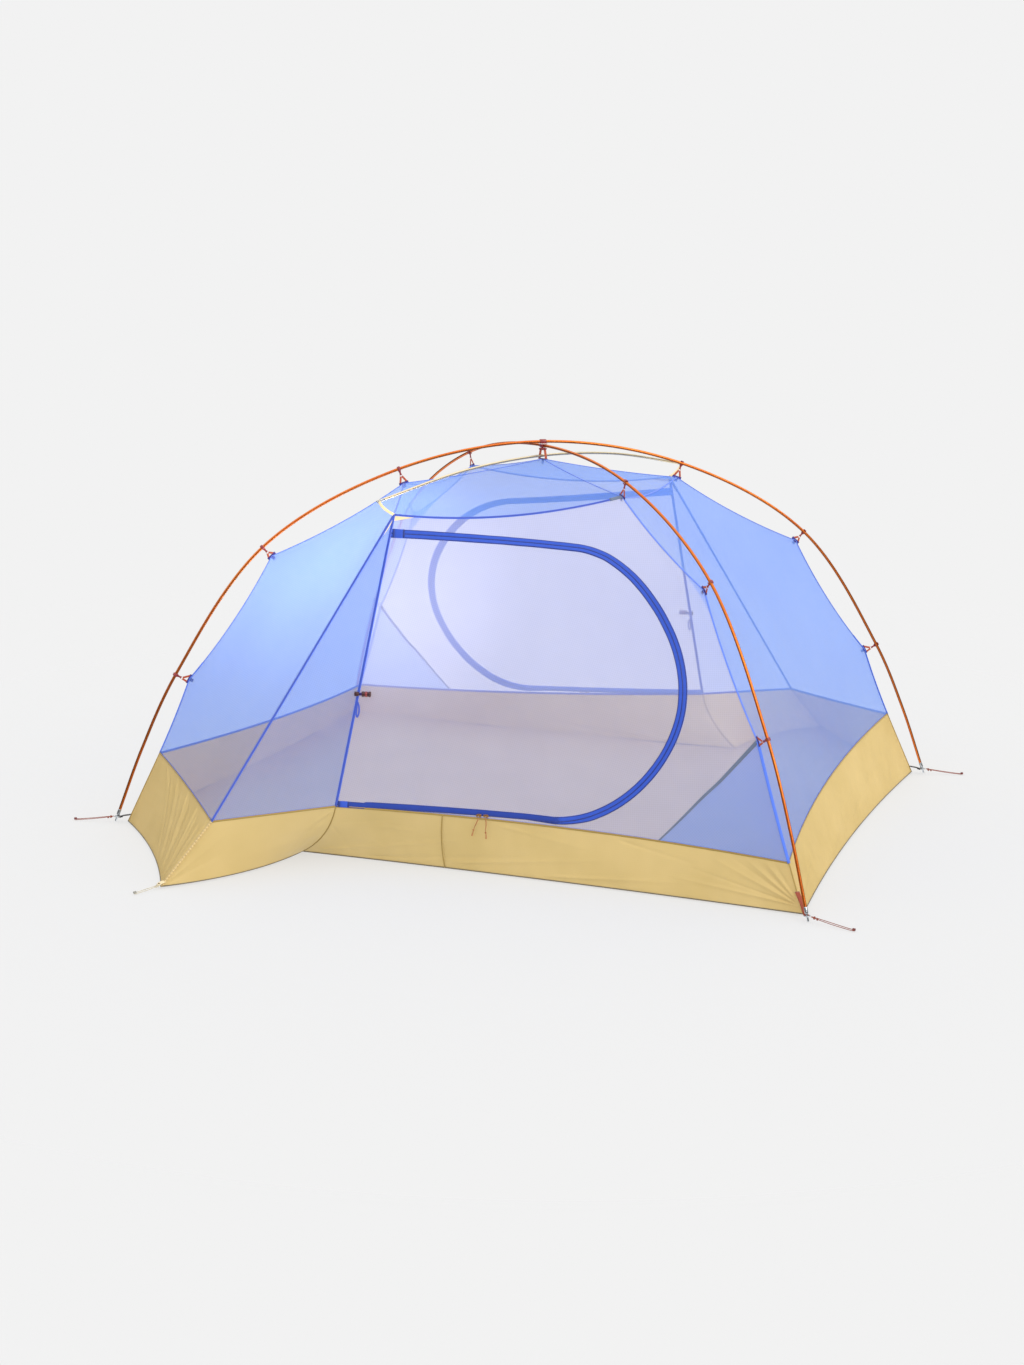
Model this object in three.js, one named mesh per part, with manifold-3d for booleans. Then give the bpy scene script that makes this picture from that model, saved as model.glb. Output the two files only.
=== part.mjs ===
// Inner tent of a two-person trekking tent on two crossed arch poles and a short ridge pole.
// Millimetres, +Z up, +X along the tent, -Y towards the front door. The origin is on the ground
// below the hub. The tent looks the same after half a turn about Z, so one half is described and
// the other is the same group turned by half a turn.
import * as THREE from 'three';
import { mergeVertices } from 'three/addons/utils/BufferGeometryUtils.js';
import Module from 'manifold-3d';

const wasm = await Module();
wasm.setup();

// ---------- driving dimensions ----------
const footX = 1100; // pole feet, half the distance along the tent
const footY = 796; // pole feet, half the distance across the tent
const poleRadius = 4.5;
const ridgeRadius = 4;
const hubHeight = 1151; // mean height of the two arches where they cross
const poleCrossing = 12; // distance between the axes of the two arches at the hub
const ridgeHeight = 1113; // axis of the ridge pole below the hub
const ridgeTip = new THREE.Vector3(-249, -641, 1034);
const clothThickness = 1.2;
const seamGap = 3; // each panel stops this far short of its seam line
const floorThickness = 1.5;
const zipGap = 6; // half the width of the slot that the zip runs in
const clipFractions = [0.337, 0.65, 0.853]; // clips along the leg, as parts of the foot's distance
const cordRadius = 1; // the thin cord of the stake loops

const footDistance = Math.hypot(footX, footY);

// ---------- the canopy's sewn corners ----------
const at = (x, y, z) => new THREE.Vector3(x, y, z);
const halfTurned = (p) => at(-p.x, -p.y, p.z);
const hub = at(0, 0, 1102);
const apex = at(-220, -607, 991); // where the ridge pole holds the front panel
const rightHooks = [at(358, -259, 1035), at(692, -501, 820), at(904, -655, 444)];
const leftHooks = rightHooks.map((p) => at(-p.x, p.y, p.z));
const farHooks = leftHooks.map(halfTurned); // along the right end of the other half
const tubRight = at(1016, -700, 125);
const tubLeft = at(-980, -718, 215);
const tubFar = halfTurned(tubLeft);
const wingTop = at(-539, -1136, 168);
const hingeFoot = at(-275, -887, 177);
const groundRight = at(1073, -747, 0);
const groundLeft = at(-1060, -785, 0);
const groundFar = halfTurned(groundLeft);
const groundWing = at(-630, -1262, 0);
const groundInner = at(-422, -825, 0);

// The far ends of the stake loops.
const stakeLeft = at(-1226, -833, 0);
const stakeRight = at(1230, -812, 0);
const stakeWing = at(-668, -1339, 0);

// ---------- small geometry helpers ----------

// A straight line between two points that bows by sag at its middle.
function bowed(a, b, count, sag = at(0, 0, 0)) {
  return Array.from({ length: count + 1 }, (_, i) => {
    const t = i / count;
    return a.clone().lerp(b, t).addScaledVector(sag, 4 * t * (1 - t));
  });
}

// Spans joined end to end, sampled so that every span keeps a whole number of steps.
function chain(spans, count) {
  const lengths = spans.map(({ from, to }) => from.distanceTo(to));
  const total = lengths.reduce((sum, length) => sum + length, 0);
  const points = [spans[0].from.clone()];
  let used = 0;
  let covered = 0;
  spans.forEach(({ from, to, sag }, i) => {
    covered += lengths[i];
    const end = i === spans.length - 1 ? count : Math.round((count * covered) / total);
    points.push(...bowed(from, to, end - used, sag).slice(1));
    used = end;
  });
  return points;
}

function solidFrom(geometry) {
  const bare = geometry.clone();
  bare.deleteAttribute('normal');
  bare.deleteAttribute('uv');
  const merged = mergeVertices(bare, 1e-4);
  return new wasm.Manifold(
    new wasm.Mesh({
      numProp: 3,
      vertProperties: new Float32Array(merged.attributes.position.array),
      triVerts: new Uint32Array(merged.index.array),
    }),
  );
}

function geometryFrom(solid) {
  const mesh = solid.getMesh();
  const geometry = new THREE.BufferGeometry();
  geometry.setAttribute('position', new THREE.BufferAttribute(mesh.vertProperties, 3));
  geometry.setIndex(new THREE.BufferAttribute(mesh.triVerts, 1));
  geometry.computeVertexNormals();
  return geometry;
}

function joined(geometries) {
  return geometryFrom(geometries.map(solidFrom).reduce((whole, solid) => whole.add(solid)));
}

function cut(geometry, tools) {
  const whole = solidFrom(geometry);
  return geometryFrom(tools.map(solidFrom).reduce((rest, tool) => rest.subtract(tool), whole));
}

// A flat bar from one point to another: its width runs along side.
function bar(from, to, width, thickness, side) {
  const along = to.clone().sub(from);
  const length = along.length();
  along.normalize();
  const across = side.clone().addScaledVector(along, -side.dot(along)).normalize();
  const up = along.clone().cross(across);
  const geometry = new THREE.BoxGeometry(length, width, thickness);
  geometry.applyMatrix4(new THREE.Matrix4().makeBasis(along, across, up));
  const middle = from.clone().add(to).multiplyScalar(0.5);
  return geometry.translate(middle.x, middle.y, middle.z);
}

// A lathe profile of [radius, height] pairs, standing at a point along a direction.
function turned(profile, foot, direction, sides = 12) {
  const geometry = new THREE.LatheGeometry(
    profile.map(([r, h]) => new THREE.Vector2(r, h)),
    sides,
  );
  const turn = new THREE.Quaternion().setFromUnitVectors(at(0, 1, 0), direction.clone().normalize());
  return geometry.applyQuaternion(turn).translate(foot.x, foot.y, foot.z);
}

function roundSection(radius, sides) {
  const points = Array.from({ length: sides }, (_, i) => {
    const angle = (2 * Math.PI * i) / sides;
    return new THREE.Vector2(radius * Math.cos(angle), radius * Math.sin(angle));
  });
  return new THREE.Shape(points);
}

function rod(curve, radius, steps, sides) {
  const settings = { steps, extrudePath: curve, bevelEnabled: false };
  return new THREE.ExtrudeGeometry(roundSection(radius, sides), settings);
}

// ---------- cloth panels ----------

// A stretched panel between four edge lines: the inner points settle to the mean of their
// neighbours, as a membrane does. Top and bottom run left to right, the sides run downwards.
function membrane({ top, bottom, left, right }) {
  const columns = top.length - 1;
  const rows = left.length - 1;
  const grid = left.map((_, i) => {
    const v = i / rows;
    return top.map((_, j) => {
      const u = j / columns;
      const corners = at(0, 0, 0)
        .addScaledVector(top[0], (1 - u) * (1 - v))
        .addScaledVector(top[columns], u * (1 - v))
        .addScaledVector(bottom[0], (1 - u) * v)
        .addScaledVector(bottom[columns], u * v);
      return at(0, 0, 0)
        .addScaledVector(top[j], 1 - v)
        .addScaledVector(bottom[j], v)
        .addScaledVector(left[i], 1 - u)
        .addScaledVector(right[i], u)
        .sub(corners);
    });
  });
  const rounds = 200;
  for (let round = 0; round < rounds; round += 1) {
    for (let i = 1; i < rows; i += 1) {
      for (let j = 1; j < columns; j += 1) {
        grid[i][j]
          .copy(grid[i - 1][j])
          .add(grid[i + 1][j])
          .add(grid[i][j - 1])
          .add(grid[i][j + 1])
          .multiplyScalar(0.25);
      }
    }
  }
  return grid;
}

// Pulls the outline of a grid inwards, so that panels that share a seam line stay apart.
function inset(grid, distance) {
  const rows = grid.length - 1;
  const columns = grid[0].length - 1;
  const inner = (k, last) => Math.min(Math.max(k, 1), last - 1);
  return grid.map((row, i) =>
    row.map((point, j) => {
      const ni = inner(i, rows);
      const nj = inner(j, columns);
      if (ni === i && nj === j) {
        return point.clone();
      }
      const inwards = grid[ni][nj].clone().sub(point);
      const corner = ni !== i && nj !== j;
      const step = corner ? distance * Math.SQRT2 : distance;
      return point.clone().addScaledVector(inwards.normalize(), step);
    }),
  );
}

// A closed shell of even thickness on both sides of a grid of points.
function shell(grid, thickness = clothThickness) {
  const rows = grid.length;
  const columns = grid[0].length;
  const normals = grid.map((row, i) =>
    row.map((_, j) => {
      const down = grid[Math.min(i + 1, rows - 1)][j].clone().sub(grid[Math.max(i - 1, 0)][j]);
      const across = row[Math.min(j + 1, columns - 1)].clone().sub(row[Math.max(j - 1, 0)]);
      return down.cross(across).normalize();
    }),
  );
  const positions = [];
  for (const side of [0.5, -0.5]) {
    grid.forEach((row, i) =>
      row.forEach((point, j) => {
        positions.push(...point.clone().addScaledVector(normals[i][j], side * thickness).toArray());
      }),
    );
  }
  const under = rows * columns;
  const id = (i, j) => i * columns + j;
  const index = [];
  for (let i = 0; i < rows - 1; i += 1) {
    for (let j = 0; j < columns - 1; j += 1) {
      const [a, b, c, d] = [id(i, j), id(i + 1, j), id(i + 1, j + 1), id(i, j + 1)];
      index.push(a, b, c, a, c, d);
      index.push(under + a, under + c, under + b, under + a, under + d, under + c);
    }
  }
  const last = { row: rows - 1, column: columns - 1 };
  const close = (a, b) => index.push(a, under + a, under + b, a, under + b, b);
  for (let i = 0; i < last.row; i += 1) {
    close(id(i, 0), id(i + 1, 0));
    close(id(i + 1, last.column), id(i, last.column));
  }
  for (let j = 0; j < last.column; j += 1) {
    close(id(last.row, j), id(last.row, j + 1));
    close(id(0, j + 1), id(0, j));
  }
  const geometry = new THREE.BufferGeometry();
  geometry.setAttribute('position', new THREE.Float32BufferAttribute(positions, 3));
  geometry.setIndex(index);
  geometry.computeVertexNormals();
  return geometry;
}

const panel = (edges) => shell(inset(membrane(edges), seamGap));

// ---------- edge lines that the panels share ----------
const hookSag = 14; // the canopy's edge hangs in a little between two hooks
const footSag = 3; // and less below the last hook
const sagSlope = 0.7; // the edge sags inwards and down alike
const inwardFrom = (p) => at(-p.x, -p.y, 0).normalize();

function hookedEdge(hooks, foot, count) {
  const stops = [...hooks, foot];
  const spans = stops.slice(1).map((to, i) => {
    const from = stops[i];
    const dip = sagSlope * (to === foot ? footSag : hookSag);
    const sag = inwardFrom(from).multiplyScalar(dip).add(at(0, 0, -dip));
    return { from, to, sag };
  });
  return chain(spans, count);
}

const frontTopSag = at(0, 0, -30);
const frontTubSag = at(0, 60, 0);
const endTopSag = at(-6, 0, -24);
const endTubSag = at(-45, 0, 0);
const wingTopSag = at(4, 4, 0);
const wingGroundSag = at(18, 17, 0);
const ridgeSeamSag = at(0, 0, -6);

// A corner that tapers to a point is cut off this far from the point.
const tipCut = 28;
const nearTip = (tip, p) => tip.clone().lerp(p, tipCut / tip.distanceTo(p));

// ---------- panels of one half ----------

function frontRoof() {
  const n = 6;
  return panel({
    top: bowed(leftHooks[0], hub, n, ridgeSeamSag),
    left: bowed(leftHooks[0], apex, n, ridgeSeamSag),
    bottom: bowed(apex, rightHooks[0], n, frontTopSag),
    right: bowed(hub, rightHooks[0], n, ridgeSeamSag),
  });
}

function endRoof() {
  const n = 6;
  const near = rightHooks[0];
  const far = farHooks[0];
  return panel({
    top: bowed(nearTip(hub, near), nearTip(hub, far), n),
    left: bowed(nearTip(hub, near), near, n, ridgeSeamSag),
    bottom: bowed(near, far, n, endTopSag),
    right: bowed(nearTip(hub, far), far, n, ridgeSeamSag),
  });
}

function endWall() {
  const n = 8;
  return panel({
    top: bowed(rightHooks[0], farHooks[0], n, endTopSag),
    left: hookedEdge(rightHooks, tubRight, n + 2),
    bottom: bowed(tubRight, tubFar, n, endTubSag),
    right: hookedEdge(farHooks, tubFar, n + 2),
  });
}

function wingSide() {
  const n = 8;
  return panel({
    top: bowed(leftHooks[0], apex, n, ridgeSeamSag),
    left: hookedEdge(leftHooks, tubLeft, n + 2),
    bottom: bowed(tubLeft, wingTop, n, wingTopSag),
    right: bowed(apex, wingTop, n + 2),
  });
}

function wingFace() {
  const n = 5;
  return panel({
    top: bowed(nearTip(apex, wingTop), nearTip(apex, hingeFoot), n),
    left: bowed(nearTip(apex, wingTop), wingTop, n + 3),
    bottom: bowed(wingTop, hingeFoot, n),
    right: bowed(nearTip(apex, hingeFoot), hingeFoot, n + 3),
  });
}

function doorWallEdges() {
  const n = 10;
  return {
    top: bowed(apex, rightHooks[0], n, frontTopSag),
    left: bowed(apex, hingeFoot, n),
    bottom: bowed(hingeFoot, tubRight, n, frontTubSag),
    right: hookedEdge(rightHooks, tubRight, n),
  };
}

const wholeDoorWall = () => panel(doorWallEdges());

// ---------- the D-shaped door and its zip line, seen from the front as x and z ----------
const doorTop = 939;
const doorCrown = [270, 902]; // the straight top run ends here
const crownHandles = [
  [430, 897],
  [672, 720],
];
const doorWaist = [672, 510]; // widest point of the D
const waistHandles = [
  [672, 360],
  [530, 175],
];
const [zipEndX, zipBottom] = [340, 166]; // the straight bottom run starts here
const zipSag = 12; // and ends this much higher at the hinge
const hingeX = (z) => THREE.MathUtils.mapLinear(z, apex.z, hingeFoot.z, apex.x, hingeFoot.x);

// The zip's line, moved outwards from the middle of the door by an offset.
function zipLine(offset) {
  const [upper, outer] = crownHandles;
  const [inner, lower] = waistHandles;
  const line = new THREE.Path();
  line.moveTo(hingeX(doorTop), doorTop + offset);
  line.lineTo(doorCrown[0], doorCrown[1] + offset);
  line.bezierCurveTo(
    upper[0],
    upper[1] + offset,
    outer[0] + offset,
    outer[1],
    doorWaist[0] + offset,
    doorWaist[1],
  );
  line.bezierCurveTo(
    inner[0] + offset,
    inner[1],
    lower[0],
    lower[1] - offset,
    zipEndX,
    zipBottom - offset,
  );
  return line.getPoints(8);
}

// A prism through the wall, from its x-z outline.
function prism(outline) {
  const depth = 900;
  const inside = -150; // the prism starts here, behind the whole wall
  const settings = { depth, bevelEnabled: false, steps: 1 };
  const geometry = new THREE.ExtrudeGeometry(new THREE.Shape(outline), settings);
  return geometry.rotateX(Math.PI / 2).translate(0, inside, 0);
}

function doorPrism() {
  const hingeGap = 5;
  const line = zipLine(-zipGap);
  const lowX = hingeX(zipBottom) + hingeGap;
  const lowLeft = new THREE.Vector2(lowX, zipBottom + zipSag + zipGap);
  line[0].x += hingeGap;
  return prism([...line, lowLeft]);
}

function doorwayPrism() {
  const beyond = 60;
  const line = zipLine(zipGap);
  line[0].x -= beyond;
  const lowRight = new THREE.Vector2(zipEndX, -beyond);
  const lowLeft = new THREE.Vector2(hingeX(0) - beyond, -beyond);
  return prism([...line, lowRight, lowLeft]);
}

function doorWall() {
  return cut(wholeDoorWall(), [doorwayPrism()]);
}

function door() {
  return geometryFrom(solidFrom(wholeDoorWall()).intersect(solidFrom(doorPrism())));
}

// ---------- the tub: coated walls round the floor ----------
const groundClear = floorThickness + 2.5; // the walls' lower edges clear the floor sheet
const lifted = (p) => at(p.x, p.y, groundClear - seamGap);

function tubWall(from, to, topFrom, topTo, topSag, groundSag, columns) {
  const rows = 2;
  const a = lifted(from);
  const b = lifted(to);
  return panel({
    top: bowed(topFrom, topTo, columns, topSag),
    left: bowed(topFrom, a, rows),
    bottom: bowed(a, b, columns, groundSag),
    right: bowed(topTo, b, rows),
  });
}

const frontGroundSag = at(0, 15, 0);
const endGroundSag = at(-32, 0, 0);
const wingFaceGroundSag = at(40, -20, 0);

const straight = at(0, 0, 0);

function tubFront() {
  return tubWall(groundInner, groundRight, hingeFoot, tubRight, frontTubSag, frontGroundSag, 10);
}

function tubEnd() {
  return tubWall(groundRight, groundFar, tubRight, tubFar, endTubSag, endGroundSag, 8);
}

function tubWingSide() {
  return tubWall(groundLeft, groundWing, tubLeft, wingTop, wingTopSag, wingGroundSag, 6);
}

function tubWingFace() {
  return tubWall(groundWing, groundInner, wingTop, hingeFoot, straight, wingFaceGroundSag, 5);
}

function floorSheet() {
  const n = 6;
  const half = [
    ...bowed(groundLeft, groundWing, n, wingGroundSag).slice(1),
    ...bowed(groundWing, groundInner, n, wingFaceGroundSag).slice(1),
    ...bowed(groundInner, groundRight, n, frontGroundSag).slice(1),
    ...bowed(groundRight, groundFar, n, endGroundSag).slice(1),
  ];
  const outline = [...half, ...half.map(halfTurned)].map((p) => new THREE.Vector2(p.x, p.y));
  const settings = { depth: floorThickness, bevelEnabled: false };
  return new THREE.ExtrudeGeometry(new THREE.Shape(outline), settings);
}

// ---------- poles ----------
const footShoulder = 26; // height at which the pole's tube stops and its tip begins
const archShape = [
  [460, 1079],
  [880, 850],
  [1155, 465],
  [1267, 233],
];
const footLean = 0.39; // sideways run of the pole for each unit of height at its foot
const archFoot = [footDistance - footShoulder * footLean, footShoulder];

// An arch in the upright plane through two opposite feet. The lift raises it at the hub only.
function archCurve(heading, lift) {
  const place = ([r, z]) => at(r * heading.x, r * heading.y, z);
  const leg = [...archShape, archFoot];
  const back = leg.map(([r, z]) => place([-r, z])).reverse();
  return new THREE.CatmullRomCurve3([...back, place([0, hubHeight + lift]), ...leg.map(place)]);
}

const headingA = at(footX, footY, 0).divideScalar(footDistance);
const headingB = at(footX, -footY, 0).divideScalar(footDistance);
const archA = archCurve(headingA, poleCrossing / 2);
const archB = archCurve(headingB, -poleCrossing / 2);

// The ridge pole droops more and more towards its tips, as a bent rod does.
function ridgeCurve() {
  const shoulderDrop = (ridgeHeight - ridgeTip.z) / 4;
  const shoulder = ridgeTip.clone().multiplyScalar(0.5).setZ(ridgeHeight - shoulderDrop);
  const half = [ridgeTip, shoulder];
  const farHalf = half.map(halfTurned).reverse();
  return new THREE.CatmullRomCurve3([...half, at(0, 0, ridgeHeight), ...farHalf]);
}

// A metal tip under each pole: a sleeve on the tube, then a thin peg that stands on the ground.
function poleFoot(outward) {
  const up = at(-outward.x * footLean, -outward.y * footLean, 1).normalize();
  const pegRadius = 3;
  const bluntRadius = 1.8;
  const clearance = 1; // the leaning peg's rim stays above the ground
  const sleeve = 3;
  const gap = 0.3;
  const length = footShoulder / up.z - gap;
  const base = outward.clone().multiplyScalar(footDistance);
  const profile = [
    [0, clearance],
    [bluntRadius, clearance],
    [pegRadius, clearance + 2],
    [pegRadius, length - sleeve - 1],
    [poleRadius, length - sleeve],
    [poleRadius, length],
    [0, length],
  ];
  return turned(profile, base, up, 10);
}

// ---------- hooks that hang the canopy from the poles ----------

// The point of an arch that lies straight above a given part of its foot's distance.
function archPoint(curve, distance) {
  const goal = -distance;
  let [low, high] = [0, 0.5];
  const rounds = 30;
  for (let i = 0; i < rounds; i += 1) {
    const middle = (low + high) / 2;
    const point = curve.getPoint(middle);
    const r = -Math.hypot(point.x, point.y);
    [low, high] = r < goal ? [middle, high] : [low, middle];
  }
  return { point: curve.getPoint(low), tangent: curve.getTangent(low) };
}

const hookBore = poleRadius + 0.9;
const hookOuter = hookBore + 3;
const hookStem = 22; // from the pole's axis to the ring that holds the webbing
const tapeThickness = 1.4;

function poleHook(curve, fraction, canopyPoint) {
  const { point, tangent } = archPoint(curve, fraction * footDistance);
  const drop = canopyPoint.clone().sub(point);
  const down = drop.clone().addScaledVector(tangent, -drop.dot(tangent)).normalize();
  const side = tangent.clone().cross(down);

  const mouth = 0.7; // half angle of the hook's mouth, on its side
  const ring = new THREE.Shape();
  ring.absarc(0, 0, hookOuter, mouth, 2 * Math.PI - mouth, false);
  ring.absarc(0, 0, hookBore, 2 * Math.PI - mouth, mouth, true);
  const hookWidth = 9;
  const settings = { depth: hookWidth, bevelEnabled: false, curveSegments: 6 };
  const clasp = new THREE.ExtrudeGeometry(ring, settings).translate(0, 0, -hookWidth / 2);
  clasp.applyMatrix4(new THREE.Matrix4().makeBasis(side, down, tangent.clone().negate()));
  clasp.applyMatrix4(new THREE.Matrix4().makeTranslation(point));

  const stemWidth = 6;
  const stemThickness = 3;
  const stemTop = point.clone().addScaledVector(down, hookBore + 1);
  const stemEnd = point.clone().addScaledVector(down, hookStem);
  const stem = bar(stemTop, stemEnd, stemWidth, stemThickness, tangent);

  const spread = 11; // the webbing's two legs part along the pole
  const seatGap = 4; // and stop short of the canopy
  const legs = [-1, 1].map((sign) => {
    const start = stemEnd.clone().addScaledVector(down, -3).addScaledVector(tangent, sign * 1.5);
    const seat = canopyPoint.clone().addScaledVector(down, -seatGap);
    return bar(start, seat.addScaledVector(tangent, sign * spread), 5, tapeThickness, side);
  });
  return joined([clasp, stem, ...legs]);
}

// The hub: a moulded block that both arches pass through, with webbing down to the canopy on
// both sides of the ridge pole.
function hubClip() {
  const bottom = hubHeight - 13;
  const top = hubHeight + 14;
  const radius = 14;
  const block = new THREE.CylinderGeometry(radius, radius, top - bottom, 16);
  block.rotateX(Math.PI / 2).translate(0, 0, (top + bottom) / 2);
  const tunnel = (heading, height) => {
    const turn = new THREE.Quaternion().setFromUnitVectors(at(0, 1, 0), heading);
    const hole = new THREE.CylinderGeometry(hookBore, hookBore, 4 * radius, 12);
    return hole.applyQuaternion(turn).translate(0, 0, height);
  };
  const upper = tunnel(headingA, hubHeight + poleCrossing / 2);
  const lower = tunnel(headingB, hubHeight - poleCrossing / 2);
  const body = cut(block, [upper, lower]);
  const ridgeHeading = at(ridgeTip.x, ridgeTip.y, 0).normalize();
  const across = at(-ridgeHeading.y, ridgeHeading.x, 0);
  const tapeWidth = 8;
  const seatGap = 3;
  const straps = [-1, 1].map((sign) => {
    const start = across.clone().multiplyScalar(8 * sign).setZ(bottom + 1);
    const end = across.clone().multiplyScalar(radius * sign).setZ(hub.z + seatGap);
    return bar(start, end, tapeWidth, tapeThickness, ridgeHeading);
  });
  return joined([body, ...straps]);
}

// ---------- straps and stake loops at the corners ----------
const strapHeight = 16; // the pole's peg stands in the strap's eye at this height
const strapThickness = 2;
const strapWidth = 14;
const eyeRadius = 4.6;
const eyeOuter = 11;
const wingSeamHeight = 20; // the straps leave the tub's corner seams at these heights
const endSeamHeight = 55;

function eyeCentre(foot) {
  const r = footDistance - strapHeight * footLean;
  return at((foot.x * r) / footDistance, (foot.y * r) / footDistance, strapHeight);
}

// Webbing from the tub's corner seam down to an eye round the pole's peg.
function cornerStrap(foot, ground, top, seamHeight) {
  const eye = eyeCentre(foot);
  const seam = lifted(ground).lerp(top, seamHeight / top.z);
  const level = at(eye.x - seam.x, eye.y - seam.y, 0).normalize();
  const disc = (radius, height) =>
    new THREE.CylinderGeometry(radius, radius, height, 16).rotateX(Math.PI / 2);
  const ring = cut(disc(eyeOuter, strapThickness), [disc(eyeRadius, 3 * strapThickness)]);
  ring.translate(eye.x, eye.y, eye.z);
  const standOff = 7;
  const upper = seam.clone().addScaledVector(level, standOff);
  const lower = eye.clone().addScaledVector(level, 2 - eyeOuter);
  const across = at(-level.y, level.x, 0);
  return joined([ring, bar(upper, lower, strapWidth, strapThickness, across)]);
}

// The route of a stake loop's cord: out from the strap to the ground, round a tight turn and
// back. Each point is a share of the way out, a distance to the side, and a share of the
// start's height above the resting cord.
const loopRoute = [
  [0, -1.6, 1],
  [0.06, -2.4, 0.93],
  [0.13, -3.2, 0.84],
  [0.21, -3.9, 0.74],
  [0.3, -4.5, 0.63],
  [0.4, -4.9, 0.51],
  [0.52, -5.1, 0.38],
  [0.66, -5, 0.24],
  [0.8, -4.6, 0.12],
  [0.9, -4.3, 0.05],
  [0.955, -4.1, 0.02],
  [0.987, -2.8, 0],
  [1, 0, 0],
  [0.987, 2.8, 0],
  [0.955, 4.1, 0.02],
  [0.9, 4.3, 0.05],
  [0.8, 4.6, 0.12],
  [0.66, 5, 0.24],
  [0.52, 5.1, 0.38],
  [0.4, 4.9, 0.51],
  [0.3, 4.5, 0.63],
  [0.21, 3.9, 0.74],
  [0.13, 3.2, 0.84],
  [0.06, 2.4, 0.93],
  [0, 1.6, 1],
];

function stakeLoop(start, end) {
  const out = end.clone().sub(start).setZ(0);
  const across = at(-out.y, out.x, 0).normalize();
  const restHeight = cordRadius + 0.5;
  const points = loopRoute.map(([along, side, height]) =>
    start
      .clone()
      .addScaledVector(out, along)
      .addScaledVector(across, side)
      .setZ(THREE.MathUtils.lerp(restHeight, start.z, height)),
  );
  return rod(new THREE.CatmullRomCurve3(points), cordRadius, 48, 8);
}

// ---------- door furniture ----------
const zipPoint = (x) => {
  const t = (x - hingeFoot.x) / (tubRight.x - hingeFoot.x);
  const wall = hingeFoot.clone().lerp(tubRight, t).addScaledVector(frontTubSag, 4 * t * (1 - t));
  const rise = THREE.MathUtils.mapLinear(x, zipEndX, hingeFoot.x, 0, zipSag);
  return at(x, wall.y, zipBottom + rise);
};

// A moulded zip slider that straddles the zip, with an ear for its pull cord.
function zipSlider(x) {
  const seat = zipPoint(x);
  const reach = 60; // the zip's heading is taken over this far each way
  const along = zipPoint(x + reach).sub(zipPoint(x - reach)).normalize();
  const outward = at(along.y, -along.x, 0).normalize();
  const length = 15;
  const height = 9;
  const depth = 7;
  const half = along.clone().multiplyScalar(length / 2);
  const body = bar(seat.clone().sub(half), seat.clone().add(half), depth, height, outward);
  const earWidth = 3;
  const earHeight = 6;
  const earRoot = seat.clone().addScaledVector(outward, depth / 2 - 1);
  const earTip = seat.clone().addScaledVector(outward, depth / 2 + 4);
  return joined([body, bar(earRoot, earTip, earWidth, earHeight, along)]);
}

// The barrel of the tie-back that holds the rolled-up door. It lies across the door beside the
// hinge seam and turns about its own middle.
function tieBack() {
  const length = 27;
  const standOff = 9;
  const fromSeam = 12;
  const endRadius = 4.2;
  const rimRadius = 6;
  const waistRadius = 5;
  const rim = 2;
  const seam = apex.clone().lerp(hingeFoot, 0.617);
  const [beside, next] = membrane(doorWallEdges())[6];
  const along = next.clone().sub(beside).normalize();
  const outward = hingeFoot.clone().sub(apex).cross(along).normalize();
  const start = seam.clone().addScaledVector(along, fromSeam).addScaledVector(outward, standOff);
  const profile = [
    [0, 0],
    [endRadius, 0],
    [rimRadius, rim],
    [waistRadius, length / 2],
    [rimRadius, length - rim],
    [endRadius, length],
    [0, length],
  ];
  return turned(profile, start, along, 10);
}

// ---------- materials ----------
const material = (color, roughness, metalness = 0, opacity = 1) =>
  new THREE.MeshStandardMaterial({ color, roughness, metalness, opacity, transparent: opacity < 1 });

const finish = {
  pole: () => material(0xd9591b, 0.35, 0.8),
  ridge: () => material(0xd8c48a, 0.35, 0.8),
  peg: () => material(0xb8bcc2, 0.3, 0.9),
  hook: () => material(0x8c2a22, 0.45),
  ripstop: () => material(0xa3b9f5, 0.8, 0, 0.8),
  mesh: () => material(0xcfd4f2, 0.9, 0, 0.4),
  tub: () => material(0xd2b473, 0.7),
  floor: () => material(0xb7adb4, 0.75),
  webbing: () => material(0xd4552a, 0.85),
  slider: () => material(0x9a5a2a, 0.5, 0.3),
  toggle: () => material(0x571a1a, 0.5),
  cord: () => material(0xc9bfae, 0.85),
};

function part(name, geometry, look) {
  const mesh = new THREE.Mesh(geometry, look());
  mesh.name = name;
  return mesh;
}

// ---------- assembly ----------
const zipStart = 128; // where both sliders of a door are parked
const sliderPitch = 20;

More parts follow.
